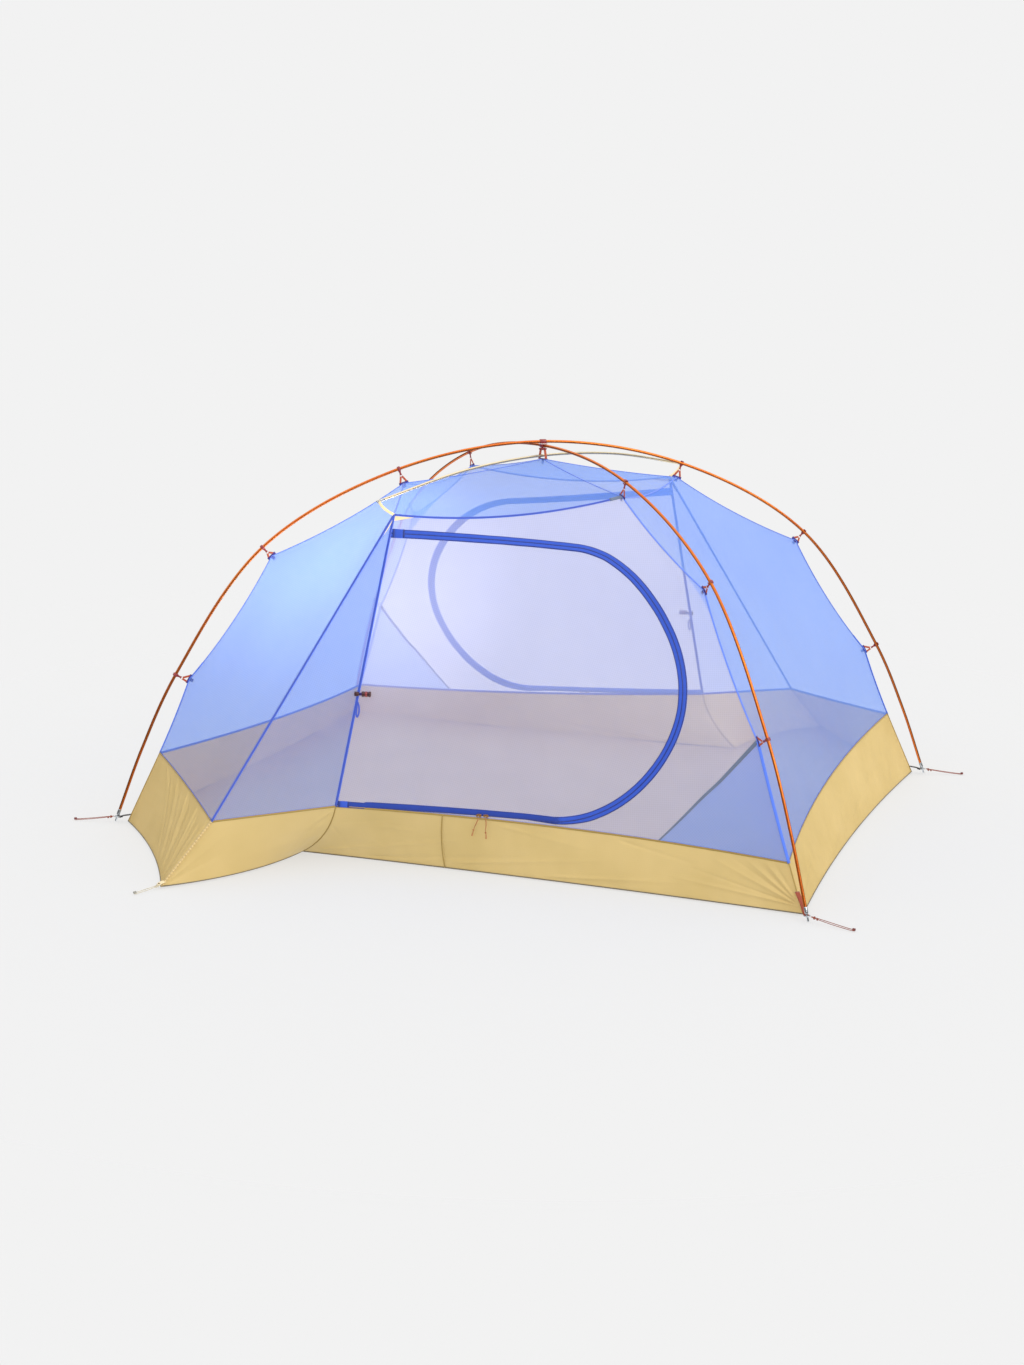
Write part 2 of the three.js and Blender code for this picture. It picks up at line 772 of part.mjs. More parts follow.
function halfTent(face, wing, end) {
  const group = new THREE.Group();
  const add = (name, geometry, look) => group.add(part(name, geometry, look));
  const levels = ['upper', 'middle', 'lower'];

  add(`roof_${face}`, frontRoof(), finish.ripstop);
  add(`roof_${end}`, endRoof(), finish.ripstop);
  add(`end_wall_${end}`, endWall(), finish.ripstop);
  add(`wing_side_${face}`, wingSide(), finish.ripstop);
  add(`wing_face_${face}`, wingFace(), finish.ripstop);
  add(`door_wall_${face}`, doorWall(), finish.mesh);
  add(`door_${face}`, door(), finish.mesh);

  add(`tub_${face}`, tubFront(), finish.tub);
  add(`tub_end_${end}`, tubEnd(), finish.tub);
  add(`tub_wing_side_${face}`, tubWingSide(), finish.tub);
  add(`tub_wing_face_${face}`, tubWingFace(), finish.tub);

  levels.forEach((level, i) => {
    const hookA = poleHook(archA, clipFractions[i], leftHooks[i]);
    add(`hook_${face}_${wing}_${level}`, hookA, finish.hook);
    const hookB = poleHook(reversed(archB), clipFractions[i], rightHooks[i]);
    add(`hook_${face}_${end}_${level}`, hookB, finish.hook);
  });

  const corners = [
    [wing, at(-footX, -footY, 0), groundLeft, tubLeft, wingSeamHeight, stakeLeft],
    [end, at(footX, -footY, 0), groundRight, tubRight, endSeamHeight, stakeRight],
  ];
  corners.forEach(([side, foot, ground, top, seamHeight, stake]) => {
    add(`pole_foot_${face}_${side}`, poleFoot(foot.clone().divideScalar(footDistance)), finish.peg);
    add(`corner_strap_${face}_${side}`, cornerStrap(foot, ground, top, seamHeight), finish.webbing);
    const eye = eyeCentre(foot);
    const away = stake.clone().sub(eye).setZ(0).normalize();
    const start = eye.clone().addScaledVector(away, eyeOuter + cordRadius);
    add(`stake_loop_${face}_${side}`, stakeLoop(start, stake), finish.cord);
  });
  const wingEyeHeight = 8;
  const wingStandOff = 6;
  const wingAway = stakeWing.clone().sub(groundWing).normalize();
  const wingStart = groundWing.clone().addScaledVector(wingAway, wingStandOff).setZ(wingEyeHeight);
  add(`stake_loop_wing_${face}`, stakeLoop(wingStart, stakeWing), finish.cord);

  add(`zip_slider_${face}_hinge_side`, zipSlider(zipStart), finish.slider);
  add(`zip_slider_${face}_free_side`, zipSlider(zipStart + sliderPitch), finish.slider);
  add(`tie_back_toggle_${face}`, tieBack(), finish.toggle);
  return group;
}

// The same curve run from its other end.
function reversed(curve) {
  return new THREE.CatmullRomCurve3([...curve.points].reverse());
}

const tent = new THREE.Group();
tent.name = 'trekking_tent';
tent.add(part('main_pole_a', rod(archA, poleRadius, 60, 8), finish.pole));
tent.add(part('main_pole_b', rod(archB, poleRadius, 60, 8), finish.pole));
tent.add(part('ridge_pole', rod(ridgeCurve(), ridgeRadius, 14, 8), finish.ridge));
tent.add(part('hub_clip', hubClip(), finish.hook));
tent.add(part('floor', floorSheet(), finish.floor));
tent.add(halfTent('front', 'left', 'right'));
const backHalf = halfTent('back', 'right', 'left');
backHalf.rotation.z = Math.PI;
tent.add(backHalf);

export default tent;
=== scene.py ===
"""Looks of a two-person trekking tent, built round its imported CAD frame. Metres, +Z up.

The tent looks the same after half a turn about Z, so every piece is described for the front half,
and the rear half holds its turned copy.
"""

import math

import bmesh
import bpy
import numpy as np
from mathutils import Matrix, Vector


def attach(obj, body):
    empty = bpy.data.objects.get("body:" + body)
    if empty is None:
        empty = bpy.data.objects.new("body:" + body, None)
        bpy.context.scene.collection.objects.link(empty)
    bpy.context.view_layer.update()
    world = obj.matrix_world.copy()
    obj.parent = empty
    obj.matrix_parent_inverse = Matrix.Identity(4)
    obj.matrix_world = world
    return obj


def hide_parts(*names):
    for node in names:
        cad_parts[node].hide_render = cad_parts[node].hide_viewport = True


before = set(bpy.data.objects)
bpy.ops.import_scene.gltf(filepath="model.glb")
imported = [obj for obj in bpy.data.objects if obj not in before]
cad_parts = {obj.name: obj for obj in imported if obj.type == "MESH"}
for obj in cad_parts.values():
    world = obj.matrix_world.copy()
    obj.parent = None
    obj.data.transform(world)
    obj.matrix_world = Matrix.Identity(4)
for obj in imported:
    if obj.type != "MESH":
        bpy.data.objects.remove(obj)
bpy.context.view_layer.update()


def at(*place):
    return np.array(place, float)


def half_turned(points):
    return np.asarray(points, float) * (-1, -1, 1)


UP = at(0, 0, 1)
LEVEL = at(1, 1, 0)  # drops a vector's height


# ---------- driving dimensions, the CAD model's own ----------
FOOT_X = 1.100
FOOT_Y = 0.796
FOOT_DISTANCE = math.hypot(FOOT_X, FOOT_Y)
POLE_RADIUS = 0.0045
RIDGE_RADIUS = 0.004
HUB_HEIGHT = 1.151
POLE_CROSSING = 0.012
RIDGE_HEIGHT = 1.113
RIDGE_TIP = at(-0.249, -0.641, 1.034)
CLIP_FRACTIONS = {"upper": 0.337, "middle": 0.65, "lower": 0.853}
FOOT_SHOULDER = 0.026
FOOT_LEAN = 0.39
STRAP_HEIGHT = 0.016
EYE_OUTER = 0.011
CORD_RADIUS = 0.001

HUB = at(0, 0, 1.102)
APEX = at(-0.220, -0.607, 0.991)
RIGHT_HOOKS = [at(0.358, -0.259, 1.035), at(0.692, -0.501, 0.820), at(0.904, -0.655, 0.444)]
LEFT_HOOKS = [p * (-1, 1, 1) for p in RIGHT_HOOKS]
FAR_HOOKS = [half_turned(p) for p in LEFT_HOOKS]
TUB_RIGHT = at(1.016, -0.700, 0.125)
TUB_LEFT = at(-0.980, -0.718, 0.215)
TUB_FAR = half_turned(TUB_LEFT)
WING_TOP = at(-0.539, -1.136, 0.168)
HINGE_FOOT = at(-0.275, -0.887, 0.177)
GROUND = 0.0035  # the tub walls meet the floor's edge at this height
GROUND_RIGHT = at(1.073, -0.747, GROUND)
GROUND_LEFT = at(-1.060, -0.785, GROUND)
GROUND_FAR = half_turned(GROUND_LEFT)
GROUND_WING = at(-0.630, -1.262, GROUND)
GROUND_INNER = at(-0.422, -0.825, GROUND)
STAKE_LEFT = at(-1.226, -0.833, 0)
STAKE_RIGHT = at(1.230, -0.812, 0)
STAKE_WING = at(-0.668, -1.339, 0)

CLOTH_STEP = 0.009  # spacing of the canopy's points
TUB_STEP = 0.0045  # and of the tub's, which has finer folds


# ---------- camera ----------
def added(name, data):
    """An object with this data, put into the scene."""
    made = bpy.data.objects.new(name, data)
    bpy.context.scene.collection.objects.link(made)
    return made


def make_camera():
    """The camera as solved from the photo."""
    data = bpy.data.cameras.new("camera")
    data.lens = 50
    data.sensor_width = 36
    camera = added("camera", data)
    right = at(0.92135, 0.38867, 0.00705)
    up = at(-0.09520, 0.20801, 0.97348)
    axes = Matrix(np.column_stack([right, up, np.cross(right, up)]).tolist()).to_4x4()
    axes.translation = (2.2204, -5.5241, 1.7789)
    camera.matrix_world = axes
    bpy.context.scene.camera = camera


# ---------- node materials ----------
class Look:
    """A node tree in the making. Its steps return the sockets of what they add."""

    def __init__(self, tree):
        tree.nodes.clear()
        self.tree = tree

    def node(self, kind, settings=None, **inputs):
        """Adds a node. An input is named with _ for a space, or _0 for its number."""
        made = self.tree.nodes.new(kind)
        for key, value in (settings or {}).items():
            setattr(made, key, value)
        for key, value in inputs.items():
            socket = made.inputs[int(key[1:]) if key[1:].isdigit() else key.replace("_", " ")]
            if isinstance(value, bpy.types.NodeSocket):
                self.tree.links.new(value, socket)
            else:
                socket.default_value = (*value, 1) if socket.type == "RGBA" else value
        return made.outputs

    def math(self, operation, *values):
        inputs = {f"_{i}": value for i, value in enumerate(values)}
        return self.node("ShaderNodeMath", {"operation": operation}, **inputs)[0]

    def times(self, first, second):
        return self.math("MULTIPLY", first, second)

    def mixed(self, share, first, second):
        return self.node("ShaderNodeMix", {"data_type": "RGBA"}, _0=share, _6=first, _7=second)[2]

    def ramp(self, value, low, high, first=0.0, last=1.0):
        return self.node("ShaderNodeMapRange", _0=value, _1=low, _2=high, _3=first, _4=last)[0]

    def place(self):
        return self.node("ShaderNodeTexCoord")["Object"]

    def noise(self, scale, detail=3.0):
        return self.node("ShaderNodeTexNoise", Vector=self.place(), Scale=scale, Detail=detail)["Fac"]

    def clouds(self, scale, detail=3.0, first=0.0, last=1.0):
        """Soft patches of noise."""
        return self.ramp(self.noise(scale, detail), 0.3, 0.7, first, last)

    def parts(self, place):
        return self.node("ShaderNodeSeparateXYZ", Vector=place)

    def waves(self, run, pitch):
        return self.math("SINE", self.times(run, math.tau / pitch))

    def bump(self, height, strength, distance=0.0002):
        return self.node("ShaderNodeBump", Height=height, Distance=distance, Strength=strength)[0]

    def surface(self, **inputs):
        return self.node("ShaderNodeBsdfPrincipled", **inputs)[0]

    def blend(self, share, first, second):
        return self.node("ShaderNodeMixShader", _0=share, _1=first, _2=second)[0]

    def ripstop(self, colour, shade, pitch, line, tint, relief, strength, soft):
        """Plain weave with a square grid of thicker threads: its grid, colour and bump."""
        parts = self.parts(self.node("ShaderNodeUVMap", {"uv_map": "cut"})[0])
        lines = [self.ramp(self.math("PINGPONG", part, 0.003), 0.0, line, 1.0, 0.0)
                 for part in parts[:2]]
        squares = self.math("MAXIMUM", *lines)
        threads = self.times(*[self.waves(part, pitch) for part in parts[:2]])
        tone = self.mixed(self.clouds(*soft), colour, shade)
        tone = self.mixed(self.times(squares, tint), tone, shade)
        height = self.math("ADD", self.times(threads, relief), squares)
        return squares, tone, self.bump(height, strength)


def material(name, build, *values, **settings):
    """A material whose surface is what build makes in a new node tree."""
    made = bpy.data.materials.new(name)
    made.use_nodes = True
    look = Look(made.node_tree)
    look.node("ShaderNodeOutputMaterial", Surface=build(look, *values, **settings))
    return made


def thin_cloth(look, colour, shade, solid, through=0.5, roughness=0.62):
    """Thin cloth that light and sight pass through: solid is the share that stops sight,
    through how much of that is lit from behind. The ripstop threads stop a little more."""
    squares, tone, bump = look.ripstop(colour, shade, 0.0009, 0.0011, 0.12, 0.25, 0.35, (3.0, 2.0))
    front = look.surface(Base_Color=tone, Roughness=roughness, Sheen_Weight=0.3,
                         Sheen_Roughness=0.4, Specular_IOR_Level=0.25, Normal=bump)
    back = look.node("ShaderNodeBsdfTranslucent", Color=tone, Normal=bump)[0]
    clear = look.node("ShaderNodeBsdfTransparent")[0]
    cover = look.math("MULTIPLY_ADD", squares, 0.05, solid)
    return look.blend(cover, clear, look.blend(through, front, back))


def coated_cloth(look, colour, shade, through=0.22):
    """Proofed cloth: solid, a little glossy, and lit faintly from behind."""
    _, tone, bump = look.ripstop(colour, shade, 0.0008, 0.0010, 0.18, 0.3, 0.4, (5.0,))
    front = look.surface(Base_Color=tone, Roughness=look.clouds(14.0, first=0.46, last=0.6),
                         Specular_IOR_Level=0.35, Normal=bump)
    back = look.node("ShaderNodeBsdfTranslucent", Color=tone, Normal=bump)[0]
    return look.blend(through, front, back)


def tape_cloth(look, colour, shade, pitch=0.0016):
    """Woven tape: rows of slanted threads, with painted shade in the dips between them."""
    x, y, z = look.parts(look.place())
    level = look.math("ADD", x, y)
    rows = [look.waves(look.math(way, level, z), pitch) for way in ("ADD", "SUBTRACT")]
    threads = look.ramp(look.times(*rows), -1.0, 1.0)
    # painted shade: the weave's dips take the darker tone
    tone = look.mixed(threads, shade, colour)
    tone = look.mixed(look.times(look.clouds(60.0), 0.25), tone, shade)
    return look.surface(Base_Color=tone, Roughness=0.7, Sheen_Weight=0.2, Specular_IOR_Level=0.3,
                        Normal=look.bump(threads, 0.5, 0.0003))


def anodised(look, colour, shade, metallic=0.9):
    """Anodised tube: a satin metal with fine marks and a little wear."""
    marks = look.clouds(7.0, 2.0)
    wear = look.ramp(look.noise(90.0, 4.0), 0.70, 0.80, 0.0, 0.2)
    tone = look.mixed(wear, look.mixed(marks, colour, shade), colour)
    return look.surface(Base_Color=tone, Roughness=look.ramp(marks, 0.0, 1.0, 0.24, 0.4),
                        Metallic=metallic)


def moulded(look, colour, shade, roughness=0.4):
    """Moulded nylon: a fine pebble grain and scuffed high spots."""
    scuffs = look.ramp(look.noise(180.0), 0.45, 0.75)
    gloss = look.ramp(scuffs, 0.0, 1.0, roughness - 0.08, roughness + 0.12)
    return look.surface(Base_Color=look.mixed(scuffs, colour, shade), Roughness=gloss,
                        Normal=look.bump(look.noise(1400.0, 2.0), 0.3))


def braided(look, colour, shade):
    """Braided cord: crossing strands with a fleck of a second colour."""
    x, y, z = look.parts(look.place())
    run = look.math("ADD", look.math("ADD", x, y), z)
    strands = look.ramp(look.math("SINE", look.times(run, 3200.0)), -1.0, 1.0)
    flecks = look.ramp(look.noise(500.0), 0.5, 0.6)
    tone = look.mixed(look.times(strands, flecks), colour, shade)
    return look.surface(Base_Color=tone, Roughness=0.75, Normal=look.bump(strands, 0.6, 0.0003))


RIPSTOP = material("ripstop_cloth", thin_cloth, (0.23, 0.41, 0.98), (0.20, 0.36, 0.95), 0.42)
CLOSE_RIPSTOP = material("close_ripstop_cloth", thin_cloth, (0.23, 0.42, 0.99),
                         (0.20, 0.38, 0.97), 0.62)
MESH = material("mesh_cloth", thin_cloth, (0.56, 0.605, 0.93), (0.52, 0.56, 0.90), 0.46,
                through=0.45, roughness=0.8)
TUB = material("tub_cloth", coated_cloth, (0.66, 0.495, 0.21), (0.60, 0.445, 0.175))
FLOOR = material("floor_cloth", coated_cloth, (0.58, 0.435, 0.22), (0.53, 0.395, 0.19), 0.05)

HEM = material("tub_hem", tape_cloth, (0.38, 0.26, 0.065), (0.30, 0.20, 0.05))
# the seam along the tub's foot, made dark as a painted contact shadow where the walls meet the floor
FLOOR_SEAM_SHADOW = material("floor_seam_painted_shadow", tape_cloth, (0.17, 0.14, 0.09), (0.11, 0.09, 0.06))
DARK_TAPE = material("dark_binding", tape_cloth, (0.16, 0.20, 0.30), (0.10, 0.13, 0.20))
PURPLE = material("hook_tab", tape_cloth, (0.055, 0.035, 0.22), (0.03, 0.02, 0.14))
THREAD = material("seam_thread", tape_cloth, (0.13, 0.24, 0.78), (0.09, 0.17, 0.62), 0.0022)
SEAM = material("seam_tape", tape_cloth, (0.055, 0.105, 0.52), (0.035, 0.075, 0.42), 0.0022)
EDGE = material("edge_tape", tape_cloth, (0.085, 0.19, 0.76), (0.06, 0.15, 0.64), 0.0022)
ZIP_TAPE = material("zip_tape", tape_cloth, (0.034, 0.100, 0.56), (0.018, 0.06, 0.42), 0.0022)
ZIP_FOOT = material("zip_foot_tape", tape_cloth, (0.016, 0.055, 0.36), (0.008, 0.03, 0.24), 0.0022)
# the zip tape's inner face, painted brighter and bluer than the tape: painted light for the light
# passing through it from outside
ZIP_REVERSE_BACKLIT = material("zip_reverse_painted_backlight", tape_cloth, (0.075, 0.21, 0.82), (0.05, 0.16, 0.70), 0.0022)
PATCH = material("yellow_patch", tape_cloth, (0.86, 0.70, 0.42), (0.78, 0.60, 0.32), 0.0022)
PUCKER = material("puckered_seam", tape_cloth, (0.68, 0.51, 0.24), (0.52, 0.37, 0.15), 0.002)
ORANGE = material("orange_webbing", tape_cloth, (0.50, 0.10, 0.03), (0.34, 0.05, 0.02), 0.002)
BLACK = material("black_webbing", tape_cloth, (0.03, 0.03, 0.03), (0.015, 0.015, 0.018), 0.002)
RUST = material("rust_webbing", tape_cloth, (0.34, 0.06, 0.02), (0.20, 0.03, 0.012), 0.002)
CREAM = material("cream_webbing", tape_cloth, (0.80, 0.68, 0.44), (0.66, 0.54, 0.32), 0.002)

POLE = material("orange_anodised", anodised, (0.62, 0.165, 0.025), (0.54, 0.120, 0.020))
RIDGE = material("champagne_anodised", anodised, (0.66, 0.56, 0.38), (0.60, 0.50, 0.32))
STEEL = material("bare_metal", anodised, (0.46, 0.48, 0.50), (0.34, 0.36, 0.38))
BRONZE = material("bronze_slider", anodised, (0.42, 0.22, 0.08), (0.28, 0.13, 0.04), 0.6)

HOOK = material("red_nylon", moulded, (0.22, 0.025, 0.025), (0.32, 0.05, 0.045))
PALE = material("pale_nylon", moulded, (0.72, 0.60, 0.55), (0.80, 0.72, 0.68))
TOGGLE = material("toggle_nylon", moulded, (0.035, 0.005, 0.006), (0.07, 0.010, 0.010), 0.5)
BEAD = material("bead_nylon", moulded, (0.12, 0.02, 0.02), (0.20, 0.05, 0.04), 0.35)
GREY_BEAD = material("grey_bead_nylon", moulded, (0.22, 0.21, 0.18), (0.30, 0.29, 0.25), 0.35)
ZIP_COIL = material("zip_coil", moulded, (0.007, 0.025, 0.20), (0.004, 0.015, 0.12), 0.45)

STAKE_CORD = material("stake_cord", braided, (0.24, 0.06, 0.04), (0.36, 0.15, 0.10))
WING_CORD = material("wing_cord", braided, (0.55, 0.50, 0.38), (0.36, 0.30, 0.22))
PULL_CORD = material("pull_cord", braided, (0.42, 0.17, 0.06), (0.26, 0.09, 0.03))


# ---------- shapes ----------
def unit(vectors):
    lengths = np.linalg.norm(vectors, axis=-1, keepdims=True)
    return vectors / np.maximum(lengths, 1e-12)


def length_of(line):
    return float(np.linalg.norm(np.diff(line, axis=0), axis=1).sum())


def bowed(a, b, sag=(0, 0, 0)):
    """A line from a to b as a function of t from 0 to 1, bowed by sag at its middle."""
    return lambda t: a + np.outer(t, b - a) + np.outer(4 * t * (1 - t), sag)


def span(a, b, count, sag=(0, 0, 0)):
    """Points along a line from a to b."""
    return bowed(a, b, sag)(np.linspace(0, 1, count))


def smooth_line(points, steps):
    """A centripetal Catmull-Rom line through points, with a number of steps to each span."""
    points = [np.asarray(p, float) for p in points]
    ends = [2 * points[0] - points[1], *points, 2 * points[-1] - points[-2]]
    line = []
    for a, b, c, d in zip(ends, ends[1:], ends[2:], ends[3:]):
        gaps = [max(np.linalg.norm(q - p), 1e-9) ** 0.5 for p, q in ((a, b), (b, c), (c, d))]
        leave = (b - a) / gaps[0] - (c - a) / (gaps[0] + gaps[1]) + (c - b) / gaps[1]
        reach = (c - b) / gaps[1] - (d - b) / (gaps[1] + gaps[2]) + (d - c) / gaps[2]
        leave, reach = leave * gaps[1], reach * gaps[1]
        t = np.linspace(0, 1, steps, endpoint=False)[:, None]
        line.append(b * (2 * t**3 - 3 * t**2 + 1) + leave * (t**3 - 2 * t**2 + t)
                    + c * (3 * t**2 - 2 * t**3) + reach * (t**3 - t**2))
    return np.concatenate([*line, points[-1][None]])


def carried_normals(along):
    """A direction beside a line that turns as little as it can along it."""
    normal = at(0.13, 0.29, 0.95)
    normals = []
    for heading in along:
        normal = unit(normal - heading * normal.dot(heading))
        normals.append(normal)
    return np.array(normals)


def crossed(axis):
    """Two directions square to an axis and to each other."""
    first = unit(np.cross(axis, (0.3, 0.5, 0.8)))
    return first, np.cross(axis, first)


def round_section(radius, sides):
    angles = np.linspace(0, math.tau, sides, endpoint=False)
    return np.column_stack([np.cos(angles), np.sin(angles)]) * radius


def tape_section(width, thickness):
    """A flat section with rounded edges."""
    w, t = width / 2, thickness / 2
    e = min(w, t)
    return np.array([(w, 0), (w - 0.3 * e, 0.7 * t), (w - e, t), (0, t), (e - w, t),
                     (0.3 * e - w, 0.7 * t), (-w, 0), (0.3 * e - w, -0.7 * t), (e - w, -t),
                     (0, -t), (w - e, -t), (w - 0.3 * e, -0.7 * t)])


def grid_faces(rows, columns):
    i, j = np.meshgrid(np.arange(rows - 1), np.arange(columns - 1), indexing="ij")
    a = (i * columns + j).ravel()
    return np.column_stack([a, a + columns, a + columns + 1, a + 1]).tolist()


class Shape:
    """Points and faces gathered into one piece, in which each part has a look of its own."""

    def __init__(self):
        self.points, self.faces, self.looks, self.cuts = [], [], [], []

    def add(self, points, faces, look, cut=None):
        first = sum(len(p) for p in self.points)
        self.points.append(np.asarray(points, float))
        self.faces += [[first + i for i in face] for face in faces]
        self.looks += [look] * len(faces)
        self.cuts.append(np.zeros((len(points), 2)) if cut is None else np.asarray(cut, float))
        return self

    def sweep(self, line, section, look, normals=None, scale=None):
        """Adds a section carried along a line and closed at both ends. Its first axis runs
        across the line, its second along the normals."""
        along = unit(np.gradient(line, axis=0))
        normals = carried_normals(along) if normals is None else np.broadcast_to(normals, line.shape)
        across = unit(np.cross(along, normals))
        above = np.cross(across, along)
        size = np.ones(len(line)) if scale is None else scale
        offsets = section[None] * size[:, None, None]
        points = (line[:, None] + offsets[..., :1] * across[:, None]
                  + offsets[..., 1:] * above[:, None])
        count, rings = len(section), len(line)
        faces = []
        for i in range(rings - 1):
            for j in range(count):
                k = (j + 1) % count
                faces.append([i * count + j, i * count + k, (i + 1) * count + k, (i + 1) * count + j])
        faces.append(list(range(count))[::-1])
        faces.append([(rings - 1) * count + j for j in range(count)])
        return self.add(points.reshape(-1, 3), faces, look)

    def tape(self, line, width, thickness, normals, look, scale=None):
        return self.sweep(line, tape_section(width, thickness), look, normals, scale)

    def tube(self, line, radius, look, sides, scale=None):
        return self.sweep(line, round_section(radius, sides), look, scale=scale)

    def turned(self, profile, foot, direction, look):
        """Adds a turned shape of (radius, height) pairs along a direction from its foot."""
        radii, heights = np.array(profile).T
        steps = np.maximum.accumulate(heights + np.arange(len(heights)) * 1e-7)
        line = foot + np.outer(steps, direction)
        return self.sweep(line, round_section(1.0, 24), look, scale=np.maximum(radii, 1e-5))

    def ring(self, centre, axis, radius, thickness, look):
        """Adds a closed ring of round wire."""
        sides, wire = 28, 10
        first, second = crossed(axis)
        points, faces = [], []
        for i in range(sides):
            angle = math.tau * i / sides
            out = math.cos(angle) * first + math.sin(angle) * second
            points += [centre + out * (radius + a) + axis * b
                       for a, b in round_section(thickness / 2, wire)]
            for j in range(wire):
                k, n = (j + 1) % wire, (i + 1) % sides
                faces.append([i * wire + j, n * wire + j, n * wire + k, i * wire + k])
        return self.add(points, faces, look)

    def knot(self, centre, axis, size, look):
        """Adds an overhand knot: a trefoil of cord pulled tight along an axis."""
        first, second = crossed(axis)
        t = np.linspace(0, math.tau, 60)
        x = np.sin(t) + 2 * np.sin(2 * t)
        y = np.cos(t) - 2 * np.cos(2 * t)
        z = -np.sin(3 * t)
        line = centre + size / 6 * (np.outer(x, first) + 0.8 * np.outer(y, second)
                                    + 1.3 * np.outer(z, axis))
        return self.tube(line, size / 6, look, 8)

    def make(self, name, half=None, body="tent", replaces=(), slot=None):
        points = np.concatenate(self.points)
        if half is not None:
            points = half.put(points)
        mesh = bpy.data.meshes.new(name)
        mesh.from_pydata(points.tolist(), [], self.faces)
        looks = list(dict.fromkeys(self.looks))
        for look in looks:
            mesh.materials.append(look)
        mesh.polygons.foreach_set("material_index", [looks.index(look) for look in self.looks])
        corners = np.zeros(len(mesh.loops), int)
        mesh.loops.foreach_get("vertex_index", corners)
        layer = mesh.uv_layers.new(name="cut")
        layer.data.foreach_set("uv", np.concatenate(self.cuts)[corners].ravel())
        tidy = bmesh.new()
        tidy.from_mesh(mesh)
        bmesh.ops.remove_doubles(tidy, verts=tidy.verts, dist=1e-5)
        bmesh.ops.dissolve_degenerate(tidy, edges=tidy.edges, dist=1e-6)
        tidy.to_mesh(mesh)
        tidy.free()
        mesh.shade_smooth()
        made = added(name, mesh)
        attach(made, body)
        if replaces:
            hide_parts(*replaces)
        return made


class Half:
    """The front half of the tent, or the rear half, which is the front one turned round."""

    def __init__(self, face, wing, end, turn):
        self.face, self.wing, self.end, self.turn = face, wing, end, turn

    def put(self, points):
        return np.asarray(points, float) * (self.turn, self.turn, 1)


HALVES = [Half("front", "left", "right", 1), Half("back", "right", "left", -1)]


# ---------- edge lines that the panels share ----------
HOOK_SAG, FOOT_SAG, SAG_SLOPE = 0.014, 0.003, 0.7


def hooked_edge(hooks, foot):
    """The canopy's edge from hook to hook along a pole, and down to the tub."""
    stops = [*hooks, foot]
    lengths = [np.linalg.norm(q - p) for p, q in zip(stops, stops[1:])]
    marks = np.concatenate([[0], np.cumsum(lengths) / sum(lengths)])
    spans = []
    for p, q in zip(stops, stops[1:]):
        dip = SAG_SLOPE * (FOOT_SAG if q is foot else HOOK_SAG)
        inward = unit(p * (-1, -1, 0))
        spans.append(bowed(p, q, dip * inward - (0, 0, dip)))

    def edge(t):
        t = np.asarray(t, float)
        which = np.clip(np.searchsorted(marks, t, side="right") - 1, 0, len(spans) - 1)
        points = np.empty((len(t), 3))
        for i, line in enumerate(spans):
            mine = which == i
            points[mine] = line((t[mine] - marks[i]) / (marks[i + 1] - marks[i]))
        return points

    return edge


RIDGE_SAG = (0, 0, -0.006)
HUB_TO_LEFT = bowed(LEFT_HOOKS[0], HUB, RIDGE_SAG)
HUB_TO_RIGHT = bowed(HUB, RIGHT_HOOKS[0], RIDGE_SAG)
HUB_TO_FAR = bowed(HUB, FAR_HOOKS[0], RIDGE_SAG)
LEFT_TO_APEX = bowed(LEFT_HOOKS[0], APEX, RIDGE_SAG)
FRONT_TOP = bowed(APEX, RIGHT_HOOKS[0], (0, 0, -0.030))
END_TOP = bowed(RIGHT_HOOKS[0], FAR_HOOKS[0], (-0.006, 0, -0.024))
LEFT_LEG = hooked_edge(LEFT_HOOKS, TUB_LEFT)
RIGHT_LEG = hooked_edge(RIGHT_HOOKS, TUB_RIGHT)
FAR_LEG = hooked_edge(FAR_HOOKS, TUB_FAR)
WING_RIDGE = bowed(APEX, WING_TOP)
HINGE = bowed(APEX, HINGE_FOOT)
FRONT_HEM = bowed(HINGE_FOOT, TUB_RIGHT, (0, 0.060, 0))
END_HEM = bowed(TUB_RIGHT, TUB_FAR, (-0.045, 0, 0))
WING_SIDE_HEM = bowed(TUB_LEFT, WING_TOP, (0.004, 0.004, 0))
WING_FACE_HEM = bowed(WING_TOP, HINGE_FOOT)
FRONT_GROUND = bowed(GROUND_INNER, GROUND_RIGHT, (0, 0.015, 0))
END_GROUND = bowed(GROUND_RIGHT, GROUND_FAR, (-0.032, 0, 0))
WING_SIDE_GROUND = bowed(GROUND_LEFT, GROUND_WING, (0.018, 0.017, 0))
WING_FACE_GROUND = bowed(GROUND_WING, GROUND_INNER, (0.040, -0.020, 0))
INNER_CORNER = bowed(HINGE_FOOT, GROUND_INNER, (0.024, -0.012, -0.008))
RIGHT_CORNER = bowed(TUB_RIGHT, GROUND_RIGHT)
LEFT_CORNER = bowed(TUB_LEFT, GROUND_LEFT)
FAR_CORNER = bowed(TUB_FAR, GROUND_FAR)
WING_CORNER = bowed(WING_TOP, GROUND_WING)
WING_ROOT = bowed(GROUND_LEFT, GROUND_INNER)


# ---------- panels ----------
LONG_WAVE, SHORT_WAVE = 0.11, 0.05  # lengths of the waves in crumpled cloth
CANOPY_CRUMPLE = 0.0007  # height of those waves in the canopy
STIFF_CRUMPLE = 0.0009  # and in the mesh and the tub
REFINEMENTS = 3  # times that a panel's grid is halved while it settles


